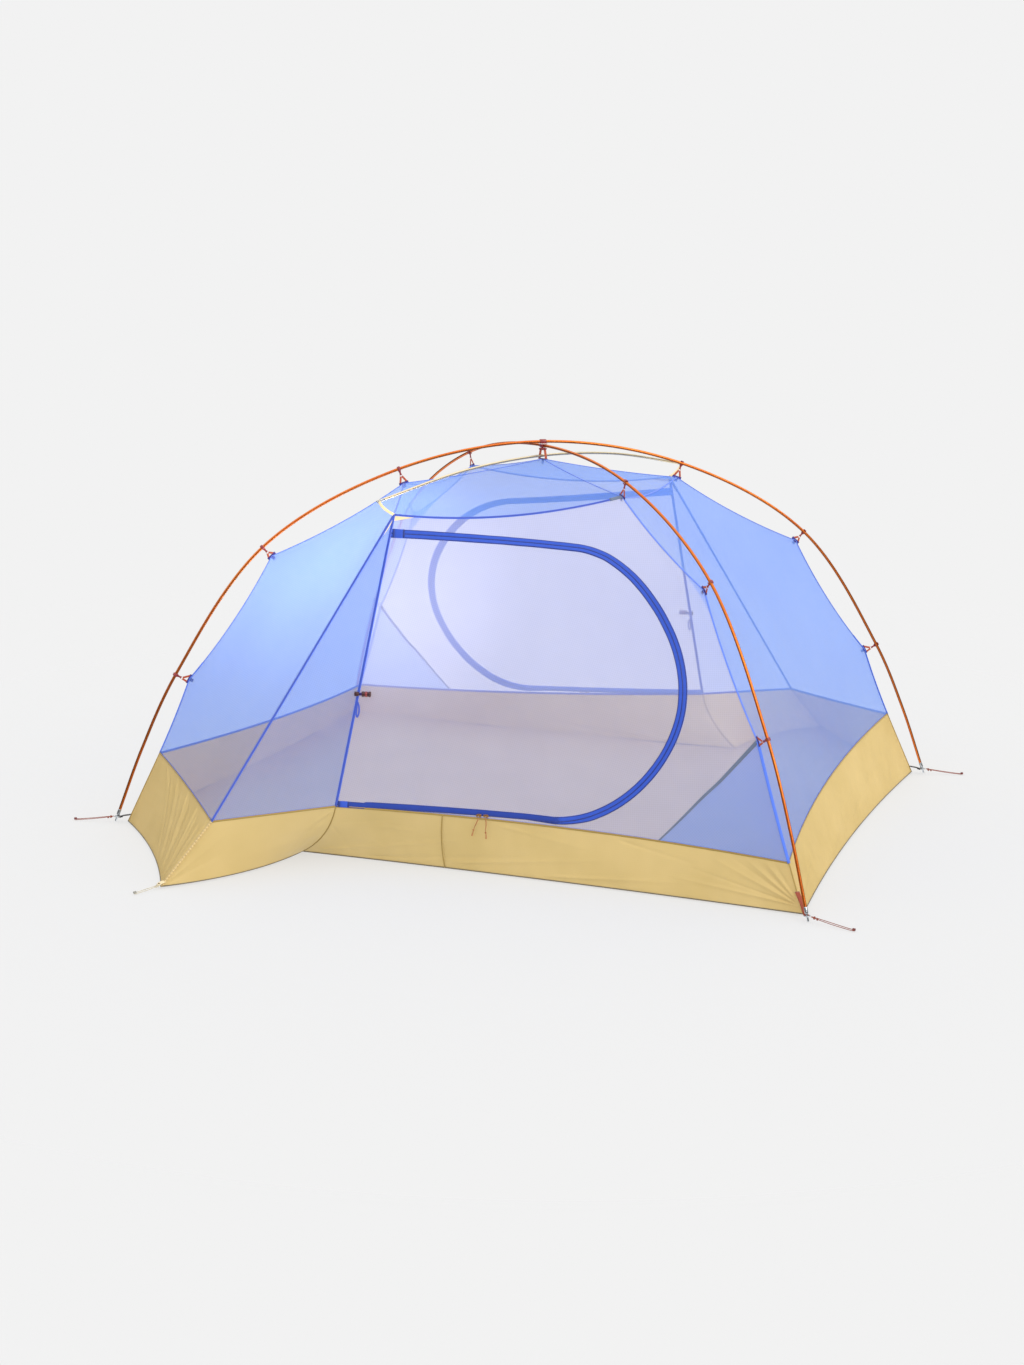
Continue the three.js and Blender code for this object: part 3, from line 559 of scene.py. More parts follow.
def membrane(top, bottom, left, right, step):
    """A stretched panel between four edge lines, as a grid of points: its inner points settle
    to the mean of their neighbours. Top and bottom run left to right, the sides run down."""
    sides = [length_of(edge(np.linspace(0, 1, 33))) for edge in (top, bottom, left, right)]
    coarsest = 2**REFINEMENTS * step
    columns, rows = (max(2, round(max(pair) / coarsest)) for pair in (sides[:2], sides[2:]))
    grid = None
    for level in range(REFINEMENTS + 1):
        u = np.linspace(0, 1, columns * 2**level + 1)
        v = np.linspace(0, 1, rows * 2**level + 1)
        edges = [top(u), bottom(u), left(v), right(v)]
        if grid is None:
            across, down = u[None, :, None], v[:, None, None]
            grid = ((1 - down) * edges[0][None] + down * edges[1][None]
                    + (1 - across) * edges[2][:, None] + across * edges[3][:, None]
                    - (1 - across) * (1 - down) * edges[0][0] - across * (1 - down) * edges[0][-1]
                    - (1 - across) * down * edges[1][0] - across * down * edges[1][-1])
        else:
            coarse = grid
            grid = np.empty((len(v), len(u), 3))
            grid[::2, ::2] = coarse
            grid[1::2, ::2] = (coarse[:-1] + coarse[1:]) / 2
            grid[:, 1::2] = (grid[:, :-1:2] + grid[:, 2::2]) / 2
        grid[0], grid[-1], grid[:, 0], grid[:, -1] = edges
        for _ in range(400 if level == 0 else 60):
            grid[1:-1, 1:-1] = (grid[:-2, 1:-1] + grid[2:, 1:-1] + grid[1:-1, :-2]
                                + grid[1:-1, 2:]) / 4
    return grid


def grid_normals(grid):
    """Outward normals of a panel's grid."""
    normals = np.cross(np.gradient(grid, axis=0), np.gradient(grid, axis=1))
    weak = np.linalg.norm(normals, axis=-1) < 1e-9
    normals[weak] = normals[~weak].mean(axis=0)
    return unit(normals)


def sampled(grid, places):
    """Points of a grid at places, which are shares to the right and down."""
    rows, columns = grid.shape[0] - 1, grid.shape[1] - 1
    shares = np.clip(places, 0, 1)
    x, y = shares[..., 0] * columns, shares[..., 1] * rows
    j = np.minimum(x.astype(int), columns - 1)
    i = np.minimum(y.astype(int), rows - 1)
    a, b = (x - j)[..., None], (y - i)[..., None]
    upper = grid[i, j] * (1 - a) + grid[i, j + 1] * a
    lower = grid[i + 1, j] * (1 - a) + grid[i + 1, j + 1] * a
    return upper * (1 - b) + lower * b


def ripple(points, wavelength, seed):
    """Smooth random waves between about -1 and 1."""
    random = np.random.default_rng(seed)
    total = np.zeros(points.shape[:-1])
    for _ in range(7):
        heading = unit(random.normal(size=3)) * math.tau / (wavelength * random.uniform(0.7, 1.5))
        total += np.sin(points @ heading + random.uniform(0, math.tau))
    return total / 3.5


def pressed(grid, folds, crumple, seed):
    """Presses folds into a panel. A fold is (start, end, width, depth): start and end are
    shares to the right and down. It is sharp where it starts and fades towards its end."""
    rows, columns = grid.shape[0] - 1, grid.shape[1] - 1
    down, across = np.arange(rows + 1), np.arange(columns + 1)
    inset = np.minimum.outer(np.minimum(down, rows - down), np.minimum(across, columns - across))
    rise = crumple * (ripple(grid, LONG_WAVE, seed) + 0.4 * ripple(grid, SHORT_WAVE, seed + 1))
    for start, end, width, depth in folds:
        a, b = sampled(grid, np.array([start, end]))
        run = b - a
        share = np.clip((grid - a) @ run / run.dot(run), 0, 1)
        gap = np.linalg.norm(grid - (a + share[..., None] * run), axis=-1)
        spread = gap / (width * (0.5 + 0.9 * share))
        profile = np.exp(-spread**1.5) * (1 - 0.6 * spread)
        taper = np.clip(share / 0.12, 0, 1) * (1 - share) ** 0.7
        rise += depth * profile * taper
    return grid + grid_normals(grid) * (rise * np.clip(inset / 3, 0, 1))[..., None]


def fan(corner, aims, width, depth):
    """Folds that spread from a corner, each part of the way to its aim."""
    return [(corner, aim, width * (1 + 0.25 * (i % 3)), depth * (1 if i % 2 else -0.7))
            for i, aim in enumerate(aims)]


def flat_cut(points):
    """Metres on the best flat plane of a panel, for its weave."""
    centred = points - points.mean(axis=0)
    _, _, axes = np.linalg.svd(centred[:: max(1, len(points) // 2000)], full_matrices=False)
    return centred @ axes[:2].T


def declare_sheet(made):
    """Lays a stretched panel out flat, as the cut it was sewn from; nothing more is done with it."""
    flat = flat_cut(np.array([v.co for v in made.data.vertices]))


def declare_strip(middle):
    """Measures a strip along its middle; nothing more is done with the length."""
    length = length_of(middle)


def cloth(name, grid, look, half, replaces=(), body="tent", slot="ripstop"):
    """A panel as one sheet of cloth."""
    points = grid.reshape(-1, 3)
    shape = Shape().add(points, grid_faces(*grid.shape[:2]), look, flat_cut(points))
    return shape.make(name, half, body, replaces, slot)


# ---------- poles ----------
ARCH_SHAPE = [(0.460, 1.079), (0.880, 0.850), (1.155, 0.465), (1.267, 0.233)]
ARCH_FOOT = (FOOT_DISTANCE - FOOT_SHOULDER * FOOT_LEAN, FOOT_SHOULDER)
POLE_STEPS = 24


def arch_line(side, lift):
    """The line of an arch whose first foot is at the left, and whose last foot is at the right.
    Side says on which side of the tent the right foot stands."""
    heading = at(FOOT_X, side * FOOT_Y, 0) / FOOT_DISTANCE
    leg = [heading * r + at(0, 0, z) for r, z in [*ARCH_SHAPE, ARCH_FOOT]]
    far_leg = [half_turned(p) for p in leg[::-1]]
    return smooth_line([*far_leg, at(0, 0, HUB_HEIGHT + lift), *leg], POLE_STEPS)


def ridge_line():
    shoulder = RIDGE_TIP / 2
    shoulder[2] = RIDGE_HEIGHT - (RIDGE_HEIGHT - RIDGE_TIP[2]) / 4
    half = [RIDGE_TIP, shoulder]
    far_half = [half_turned(p) for p in half[::-1]]
    return smooth_line([*half, at(0, 0, RIDGE_HEIGHT), *far_half], POLE_STEPS)


ARCH_A = arch_line(1, POLE_CROSSING / 2)
ARCH_B = arch_line(-1, -POLE_CROSSING / 2)
RIDGE_LINE = ridge_line()


def make_poles():
    for name, line in (("main_pole_a", ARCH_A), ("main_pole_b", ARCH_B)):
        tube = Shape().tube(line, POLE_RADIUS, POLE, 20)
        tube.make(name + "_tube", replaces=[name], slot="pole")
    tube = Shape().tube(RIDGE_LINE, RIDGE_RADIUS, RIDGE, 18)
    tube.make("ridge_pole_tube", replaces=["ridge_pole"], slot="ridge_pole")


def make_ridge_tip(half):
    """A turned metal tip on the ridge pole, and the yellow strap down to the canopy."""
    outward = unit(RIDGE_LINE[0] - RIDGE_LINE[2])
    profile = [(0.0043, -0.016), (0.0046, -0.015), (0.0046, -0.002), (0.0038, 0), (0.0022, 0.001),
               (0.0022, 0.006), (0.0034, 0.007), (0.0036, 0.010), (0.0024, 0.012), (0, 0.0125)]
    tip = Shape().turned(profile, RIDGE_TIP, outward, STEEL)
    tip.make(f"ridge_tip_{half.face}", half, slot="pole_foot")
    top = RIDGE_TIP + outward * 0.004
    shape = Shape()
    shape.tape(span(top, APEX, 14, (-0.004, -0.004, -0.002)), 0.0085, 0.0014, (0.3, -0.9, 0.3), PATCH)
    shape.ring(top, outward, 0.0034, 0.0016, PATCH)
    shape.make(f"ridge_strap_{half.face}", half, slot="webbing")


# ---------- hooks ----------
HOOK_BORE = POLE_RADIUS + 0.0009
HOOK_STEM = 0.022
WEBBING_SPREAD = 0.011  # how far a hook's webbing legs stand from the middle of its tab


def arch_place(line, distance):
    """Where an arch lies at a distance from the middle, below zero towards its first foot."""
    reach = np.hypot(line[:, 0], line[:, 1])
    reach[: len(line) // 2] *= -1
    i = int(np.searchsorted(reach, distance))
    share = (distance - reach[i - 1]) / (reach[i] - reach[i - 1])
    return line[i - 1] + share * (line[i] - line[i - 1]), unit(line[i + 1] - line[i - 2])


def add_clip(shape, centre, towards, across, radius, mouth, steps, width, thickness):
    """Adds an open moulded ring round a pole, with its mouth towards one side."""
    angles = np.linspace(mouth, math.tau - mouth, steps)
    out = np.outer(np.cos(angles), towards) + np.outer(np.sin(angles), across)
    shape.tape(centre + radius * out, width, thickness, out, HOOK)


def make_hook(half, side, level, line, canopy):
    """A moulded hook round the pole, a pale ring on its stem and two webbing legs to a tab.
    The line starts at the foot of the hook's own leg."""
    point, along = arch_place(line, -CLIP_FRACTIONS[level] * FOOT_DISTANCE)
    drop = canopy - point
    down = unit(drop - along * drop.dot(along))
    across = np.cross(along, down)
    shape = Shape()
    add_clip(shape, point, across, down, radius=HOOK_BORE + 0.0013, mouth=0.75, steps=34,
             width=0.0088, thickness=0.0027)
    stem = span(point + down * (HOOK_BORE + 0.0016), point + down * (HOOK_STEM - 0.002), 8)
    waist = np.array([1.15, 0.95, 0.8, 0.75, 0.75, 0.8, 0.95, 1.1])
    shape.tape(stem, 0.0075, 0.0034, across, HOOK, waist)
    shape.ring(point + down * (HOOK_STEM - 0.0005), across, 0.0034, 0.0017, PALE)
    for sign in (-1, 1):
        root = point + along * sign * 0.0016 + down * (HOOK_STEM + 0.0015)
        foot = canopy + along * sign * WEBBING_SPREAD - down * 0.002
        shape.tape(span(root, foot, 9), 0.0062, 0.0014, across, ORANGE)
    stitch = span(canopy - along * 0.015 - down * 0.001, canopy + along * 0.015 - down * 0.001, 7)
    shape.tape(stitch, 0.008, 0.0022, across, PURPLE)
    tail = span(canopy - down * 0.003, canopy + down * 0.013, 6) + across * 0.001
    shape.tape(tail, 0.010, 0.0016, across, PURPLE)
    name = f"hook_{half.face}_{side}_{level}"
    shape.make(name + "_clip", half, replaces=[name], slot="hook")


def make_hooks():
    for half in HALVES:
        for level, left, right in zip(CLIP_FRACTIONS, LEFT_HOOKS, RIGHT_HOOKS):
            make_hook(half, half.wing, level, ARCH_A, left)
            make_hook(half, half.end, level, ARCH_B[::-1], right)


def make_hub():
    """Two pole clips back to back on a moulded block, with webbing straddling the ridge pole."""
    shape = Shape()
    middle = at(0, 0, HUB_HEIGHT)
    for side in (1, -1):
        across = np.cross(at(FOOT_X, side * FOOT_Y, 0) / FOOT_DISTANCE, UP)
        add_clip(shape, middle + UP * side * POLE_CROSSING / 2, UP * side, across,
                 radius=HOOK_BORE + 0.0014, mouth=0.6, steps=30, width=0.020, thickness=0.0029)
    profile = [(0.004, 0), (0.010, 0.0004), (0.0125, 0.002), (0.0125, 0.005), (0.009, 0.0065)]
    shape.turned(profile, middle - UP * 0.0205, UP, HOOK)
    shape.ring(middle - UP * 0.0005, UP, 0.0135, 0.0022, PALE)
    across = unit(at(-RIDGE_TIP[1], RIDGE_TIP[0], 0))
    top, foot = middle - UP * 0.016, HUB + UP * 0.001
    t = np.linspace(0, 1, 12)[:, None]
    for sign in (-1, 1):
        leg = top + (foot - top) * t + across * sign * (0.0075 + 0.0065 * t**0.8)
        shape.tape(leg, 0.010, 0.0015, across, ORANGE)
    shape.tape(span(foot - across * 0.016, foot + across * 0.016, 9), 0.011, 0.002, UP, PURPLE)
    shape.tape(span(foot, foot - UP * 0.016, 6), 0.009, 0.0016, across, PURPLE)
    shape.make("hub_clip_detail", replaces=["hub_clip"], slot="hook")


# ---------- corners: pole tips, straps, stake loops ----------
def eye_centre(foot):
    eye = foot * (FOOT_DISTANCE - STRAP_HEIGHT * FOOT_LEAN) / FOOT_DISTANCE
    eye[2] = STRAP_HEIGHT
    return eye


def make_pole_tip(half, side, foot):
    lean = unit(UP - unit(foot) * FOOT_LEAN)
    length = FOOT_SHOULDER / lean[2]
    profile = [(0.0010, 0.0007), (0.0022, 0.0010), (0.0028, 0.0028), (0.0028, length - 0.006),
               (0.0034, length - 0.005), (0.0047, length - 0.004), (0.0050, length - 0.002),
               (0.0050, length + 0.012), (0.0046, length + 0.0135)]
    name = f"pole_foot_{half.face}_{side}"
    tip = Shape().turned(profile, foot, lean, STEEL)
    tip.make(name + "_tip", half, replaces=[name], slot="pole_foot")


def make_strap(half, side, foot, ground, top, height, look):
    """Webbing from a height on the tub's corner seam to a metal eye round the pole's tip."""
    eye = eye_centre(foot)
    seam = ground + (top - ground) * height / top[2]
    level = unit((eye - seam) * LEVEL)
    upper = seam + level * 0.003
    lower = eye - level * (EYE_OUTER - 0.003)
    line = smooth_line([upper, (upper + lower) / 2 + level * 0.004, lower], 8)
    across = np.cross(UP, level)
    normals = np.cross(across, np.gradient(line, axis=0))
    shape = Shape().tape(line, 0.0135, 0.0020, normals, look)
    shape.tape(line[::-1][:7] - UP * 0.0026, 0.0130, 0.0018, normals[::-1][:7], look)
    shape.ring(eye, UP, 0.0078, 0.0032, STEEL)
    collar = span(lower - across * 0.006, lower + across * 0.006, 7) + level * 0.003
    shape.tube(collar, 0.0026, look, 10)
    name = f"corner_strap_{half.face}_{side}"
    shape.make(name + "_webbing", half, replaces=[name], slot="webbing")


OUTWARD_RUN = [  # share of the way out, distance to the side, share of the start's height
    (0, 0.0016, 1), (0.06, 0.0024, 0.93), (0.13, 0.0032, 0.84), (0.21, 0.0039, 0.74),
    (0.3, 0.0045, 0.63), (0.4, 0.0049, 0.51), (0.52, 0.0051, 0.38), (0.66, 0.005, 0.24),
    (0.8, 0.0046, 0.12), (0.9, 0.0043, 0.05), (0.955, 0.0041, 0.02), (0.987, 0.0028, 0)]
LOOP_ROUTE = [*[(share, -side, height) for share, side, height in OUTWARD_RUN], (1, 0, 0),
              *OUTWARD_RUN[::-1]]


def cord_curve(name, line, radius, look, body):
    curve = bpy.data.curves.new(name, "CURVE")
    curve.dimensions = "3D"
    curve.bevel_depth = radius
    curve.bevel_resolution = 3
    curve.use_fill_caps = True
    spline = curve.splines.new("POLY")
    spline.points.add(len(line) - 1)
    spline.points.foreach_set("co", np.column_stack([line, np.ones(len(line))]).ravel())
    curve.materials.append(look)
    made = added(name, curve)
    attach(made, body)
    return made


def make_stake_loop(half, name, start, end, cord_look, bead_look):
    """A loop of thin cord from the corner out to where its stake would stand, with the knot
    at its root and a bead where it turns."""
    out = (end - start) * LEVEL
    heading = unit(out)
    across = np.cross(UP, heading)
    rest = CORD_RADIUS + 0.0005
    root = start * LEVEL + UP * rest
    drop = UP * (start[2] - rest)
    route = [root + out * share + across * side + drop * height for share, side, height in LOOP_ROUTE]
    line = half.put(smooth_line(route, 5))
    made = cord_curve(name + "_cord", line, CORD_RADIUS, cord_look, "tent")
    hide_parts(name)
    shape = Shape()
    for share, size in ((0.07, 0.0085), (0.14, 0.0070)):
        shape.knot(root + out * share + drop * (1 - 2 * share), heading, size, cord_look)
    knots = shape.make(name + "_knot", half, slot="webbing")
    profile = [(0.0012, 0), (0.0030, 0.0006), (0.0040, 0.0022), (0.0034, 0.0045), (0.0038, 0.0068),
               (0.0030, 0.0084), (0.0012, 0.009)]
    foot = end * LEVEL + UP * 0.0041 - heading * 0.0075
    bead = Shape().turned(profile, foot, heading, bead_look).make(name + "_bead", half, slot="toggle")
    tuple(line[0])
    length_of(line)


def make_wing_tab(half, level):
    """Doubled cream webbing with a dark grommet on the wing's corner, which holds its loop."""
    across = np.cross(UP, level)
    line = span(GROUND_WING + UP * 0.012 - level * 0.012, GROUND_WING + UP * 0.006 + level * 0.010,
                8, (0, 0, 0.002))
    shape = Shape().tape(line, 0.016, 0.0022, np.cross(across, level), CREAM)
    shape.ring(GROUND_WING + UP * 0.0095 + level * 0.003, UP, 0.0042, 0.0022, TOGGLE)
    shape.make(f"wing_tab_{half.face}", half, slot="webbing")


def make_cords():
    """The stake loops of one corner after another, with what holds them."""
    for half in HALVES:
        corners = [
            (half.wing, at(-FOOT_X, -FOOT_Y, 0), STAKE_LEFT, GROUND_LEFT, TUB_LEFT, 0.020, BLACK),
            (half.end, at(FOOT_X, -FOOT_Y, 0), STAKE_RIGHT, GROUND_RIGHT, TUB_RIGHT, 0.055, RUST)]
        for side, foot, stake, *strap in corners:
            eye = eye_centre(foot)
            start = eye + unit((stake - eye) * LEVEL) * (EYE_OUTER + CORD_RADIUS)
            make_stake_loop(half, f"stake_loop_{half.face}_{side}", start, stake, STAKE_CORD, BEAD)
            make_pole_tip(half, side, foot)
            make_strap(half, side, foot, *strap)
        out = unit((STAKE_WING - GROUND_WING) * LEVEL)
        start = GROUND_WING * LEVEL + out * 0.006 + UP * 0.008
        make_stake_loop(half, f"stake_loop_wing_{half.face}", start, STAKE_WING, WING_CORD, GREY_BEAD)
        make_wing_tab(half, out)


# ---------- the door wall, its zip and its door ----------
DOOR_TOP = 0.939
DOOR_CROWN = (0.270, 0.902)
CROWN_HANDLES = ((0.430, 0.897), (0.672, 0.720))
DOOR_WAIST = (0.672, 0.510)
WAIST_HANDLES = ((0.672, 0.360), (0.530, 0.175))
ZIP_CORNER = (0.340, 0.166)
ZIP_SAG = 0.012
ZIP_BAND = 0.0125  # half the width of the zip with its tapes
ZIP_FOOT_SHARE = 0.72  # share of the zip's line where its level foot starts
FOOT_BLEND = [0, 0.68, 0.76, 1]  # between the middle two, the tapes change to the foot's width
ZIP_STEPS = 260
ZIP_TABS = ((1, 4, 0.026, 0.0), (-5, -2, 0.018, 0.0075))  # first and last step, width, shift
TAPE_GAP = 0.0004  # between the zip's middle and each tape
HINGE_GAP = 0.003  # between the hinge seam and the door, as a share of the wall

FOLD_DEPTH = 0.0012
WALL_FOLDS = [
    *fan((0.0, 0.0), [(0.30, 0.22), (0.20, 0.34), (0.10, 0.42)], 0.020, FOLD_DEPTH),
    *fan((1.0, 0.0), [(0.62, 0.16), (0.70, 0.30), (0.84, 0.36)], 0.022, FOLD_DEPTH),
    *fan((1.0, 0.42), [(0.80, 0.34), (0.76, 0.44), (0.82, 0.56)], 0.016, FOLD_DEPTH),
    *fan((1.0, 1.0), [(0.84, 0.80), (0.72, 0.88), (0.93, 0.70)], 0.016, FOLD_DEPTH),
]
CORNER_DIAGONAL = [(0.858, 0.388), (0.807, 0.325), (0.755, 0.268), (0.704, 0.208)]
CORNER_END = 0.711  # share along the front hem where the corner panel ends
LOWER_HOOK = 0.730  # share down the leg where the lower hook holds the wall
TOP_SHARE = 0.265  # share of the zip's line that lies below the wall's top seam


def hinge_x(z):
    return APEX[0] + (z - APEX[2]) / (HINGE_FOOT[2] - APEX[2]) * (HINGE_FOOT[0] - APEX[0])


def bezier(points, count):
    a, b, c, d = (np.array(p) for p in points)
    t = np.linspace(0, 1, count)[:, None]
    return a * (1 - t)**3 + 3 * b * t * (1 - t)**2 + 3 * c * t**2 * (1 - t) + d * t**3


def zip_outline():
    """The zip's line as x and z seen from the front, from the hinge seam's top to its foot."""
    last = ZIP_CORNER[1] + ZIP_SAG
    top = np.linspace((hinge_x(DOOR_TOP), DOOR_TOP), DOOR_CROWN, 61)
    crown = bezier([DOOR_CROWN, *CROWN_HANDLES, DOOR_WAIST], 61)
    waist = bezier([DOOR_WAIST, *WAIST_HANDLES, ZIP_CORNER], 61)
    foot = np.linspace(ZIP_CORNER, (hinge_x(last), last), 81)
    return np.concatenate([top[:-1], crown[:-1], waist[:-1], foot])


def evenly(line, count):
    """Points at even distances along a line."""
    gaps = np.concatenate([[0], np.cumsum(np.linalg.norm(np.diff(line, axis=0), axis=1))])
    marks = np.linspace(0, gaps[-1], count)
    return np.column_stack([np.interp(marks, gaps, line[:, k]) for k in range(line.shape[1])])


def on_wall(grid, targets):
    """The places, as shares across and down, of a wall's grid at points given by x and z."""
    flat = grid[..., (0, 2)]
    step = 1e-3
    places = []
    for target in targets:
        i, j = np.unravel_index(((flat - target)**2).sum(-1).argmin(), flat.shape[:2])
        place = np.array([j / (grid.shape[1] - 1), i / (grid.shape[0] - 1)])
        for _ in range(4):
            here, right, down = sampled(flat, place + step * np.array([(0, 0), (1, 0), (0, 1)]))
            slope = np.column_stack([right - here, down - here]) / step
            place = place + np.linalg.lstsq(slope, target - here, rcond=None)[0]
        places.append(place)
    return np.array(places)


class DoorWall:
    """The front wall: its mesh round the doorway, its door, the corner panel and the zip."""

    def __init__(self):
        smooth = membrane(FRONT_TOP, FRONT_HEM, HINGE, RIGHT_LEG, CLOTH_STEP)
        self.grid = pressed(smooth, WALL_FOLDS, STIFF_CRUMPLE, seed=31)
        self.normals = grid_normals(self.grid)
        self.zip = on_wall(self.grid, evenly(zip_outline(), ZIP_STEPS + 1))
        self.zip[0, 0] = self.zip[-1, 0] = 0.0
        self.share = np.linspace(0, 1, ZIP_STEPS + 1)
        diagonal = on_wall(self.grid, np.array(CORNER_DIAGONAL))
        self.diagonal = smooth_line([(1.0, LOWER_HOOK), *diagonal, (CORNER_END, 1.0)], 8)

    def place(self, shares, rise=0.0):
        return raised(self.grid, self.normals, shares, rise)

    def between(self, first, last, steps):
        """The part of the wall between two lines of places on it."""
        share = np.linspace(0, 1, steps + 1)[None, :, None]
        return sampled(self.grid, first[:, None] * (1 - share) + last[:, None] * share)

    def surround(self):
        """The mesh from the zip out to the seams and to the corner panel."""
        marks = np.linspace(0.50, 0.66, len(self.diagonal))[1:]
        stops = [(0.0, 0.0, 0.0), (TOP_SHARE, 1.0, 0.0), (0.50, 1.0, LOWER_HOOK)]
        stops += [(mark, *place) for mark, place in zip(marks, self.diagonal[1:])]
        where, across, down = np.array([*stops, (1.0, 0.0, 1.0)]).T
        outer = np.column_stack([np.interp(self.share, where, part) for part in (across, down)])
        return self.between(self.zip, outer, steps=40)

    def door(self):
        heights = self.zip[0, 1] + (self.zip[-1, 1] - self.zip[0, 1]) * self.share
        hinge = np.column_stack([np.full_like(heights, HINGE_GAP), heights])
        return self.between(hinge, self.zip, steps=90)

    def corner(self):
        inner = evenly(self.diagonal, 51)
        outer = evenly(np.array([(1.0, LOWER_HOOK), (1.0, 1.0), (CORNER_END, 1.0)]), 51)
        return self.between(inner, outer, steps=24)


def raised(grid, normals, places, rise):
    """Points at places on a panel, lifted off it."""
    return sampled(grid, places) + rise * unit(sampled(normals, places))


def make_zip(half, wall):
    """The zip's two tapes with their dark edges, and the coil where they meet. The inner tape
    is sewn to the door and goes with it."""
    line = wall.place(wall.zip)
    normals = unit(sampled(wall.normals, wall.zip))
    inward = unit(np.cross(np.gradient(line, axis=0), normals))
    foot = int(ZIP_FOOT_SHARE * len(line))
    parts = ((slice(0, foot + 1), ZIP_TAPE), (slice(foot, None), ZIP_FOOT))
    sides = (("outer", -1, 0.12, "tent"), ("inner", 1, 1.25, f"{half.face}_door"))
    for name, sign, foot_width, body in sides:
        narrowing = np.interp(wall.share, FOOT_BLEND, [1, 1, foot_width, foot_width])
        width = ZIP_BAND * narrowing
        centre = line + inward * (sign * (TAPE_GAP + width / 2))[:, None]
        edge = line + inward * (sign * (width - 0.0015))[:, None]
        shape = Shape()
        for part, look in parts:
            shape.tape(centre[part], ZIP_BAND, 0.0030, normals[part], look, narrowing[part])
        shape.tape(edge, 0.0038, 0.0038, normals, ZIP_COIL)
        # inner face of the tapes: the brighter copy of the zip tape, a painted backlight
        shape.tape(centre - normals * 0.0020, ZIP_BAND, 0.0012, normals, ZIP_REVERSE_BACKLIT, narrowing)
        shape.make(f"zip_{name}_tape_{half.face}", half, body, slot="ripstop")
    coil = Shape().tape(line, 0.0042, 0.0046, normals, ZIP_COIL)
    coil.make(f"zip_coil_{half.face}", half, slot="slider")
    tabs = Shape()
    for first, last, width, shift in ZIP_TABS:
        run = slice(first, last + 1)
        middle = line + inward * shift + normals * 0.0016
        tabs.tape(middle[run], width, 0.0018, normals[run], ZIP_TAPE)
        for end in (first, last):
            reach = inward[end] * width / 2
            stripe = span(middle[end] - reach, middle[end] + reach, 5) + normals[end] * 0.0006
            tabs.tape(stripe, 0.0052, 0.0020, normals[end], ZIP_COIL)
    tabs.make(f"zip_end_tabs_{half.face}", half, slot="webbing")


def make_door_wall(half, wall):
    surround = wall.surround()
    made = cloth(f"door_wall_{half.face}_mesh", surround, MESH, half, [f"door_wall_{half.face}"],
                 slot="mesh")
    declare_strip(surround[:, surround.shape[1] // 2])
    declare_sheet(cloth(f"corner_panel_{half.face}", wall.corner(), CLOSE_RIPSTOP, half))
    made = cloth(f"door_{half.face}_mesh", wall.door(), MESH, half, [f"door_{half.face}"],
                 f"{half.face}_door", "mesh")
    declare_sheet(made)
    binding = wall.place(evenly(wall.diagonal, 60), 0.0012)
    shape = Shape()
    shape.tape(binding, 0.011, 0.0016, (0, -1, 0.1), DARK_TAPE, np.linspace(1.0, 0.40, 60))
    shape.make(f"corner_binding_{half.face}", half, slot="webbing")


# ---------- zip sliders, their pulls and the door's tie-back ----------
SLIDER_PLACES = {"hinge_side": 0.128, "free_side": 0.148}
KNOT_SHARE = 0.66  # how far down the pull cord its knot is
PULL_RADIUS = 0.0009
SLIDER_SWELL = [0.62, 0.82, 0.92, 0.96, 1, 1, 1, 0.92, 0.72]
PULL_ROUTES = {  # sideways, outwards and down from the slider's ear
    "hinge_side": [(0, 0, 0), (-0.002, 0.003, 0.006), (-0.007, 0.003, 0.018),
                   (-0.013, 0.001, 0.033), (-0.017, 0.0, 0.047), (-0.019, 0.001, 0.056)],
    "free_side": [(0, 0, 0), (0.001, 0.003, 0.006), (0.002, 0.005, 0.020),
                  (0.001, 0.006, 0.036), (0.003, 0.007, 0.050), (0.003, 0.008, 0.059)],
}


def zip_place(x):
    """The middle of the zip's level foot at x."""
    t = (x - HINGE_FOOT[0]) / (TUB_RIGHT[0] - HINGE_FOOT[0])
    rise = (ZIP_CORNER[0] - x) / (ZIP_CORNER[0] - HINGE_FOOT[0]) * ZIP_SAG
    return at(x, FRONT_HEM(np.array([t]))[0, 1], ZIP_CORNER[1] + rise)


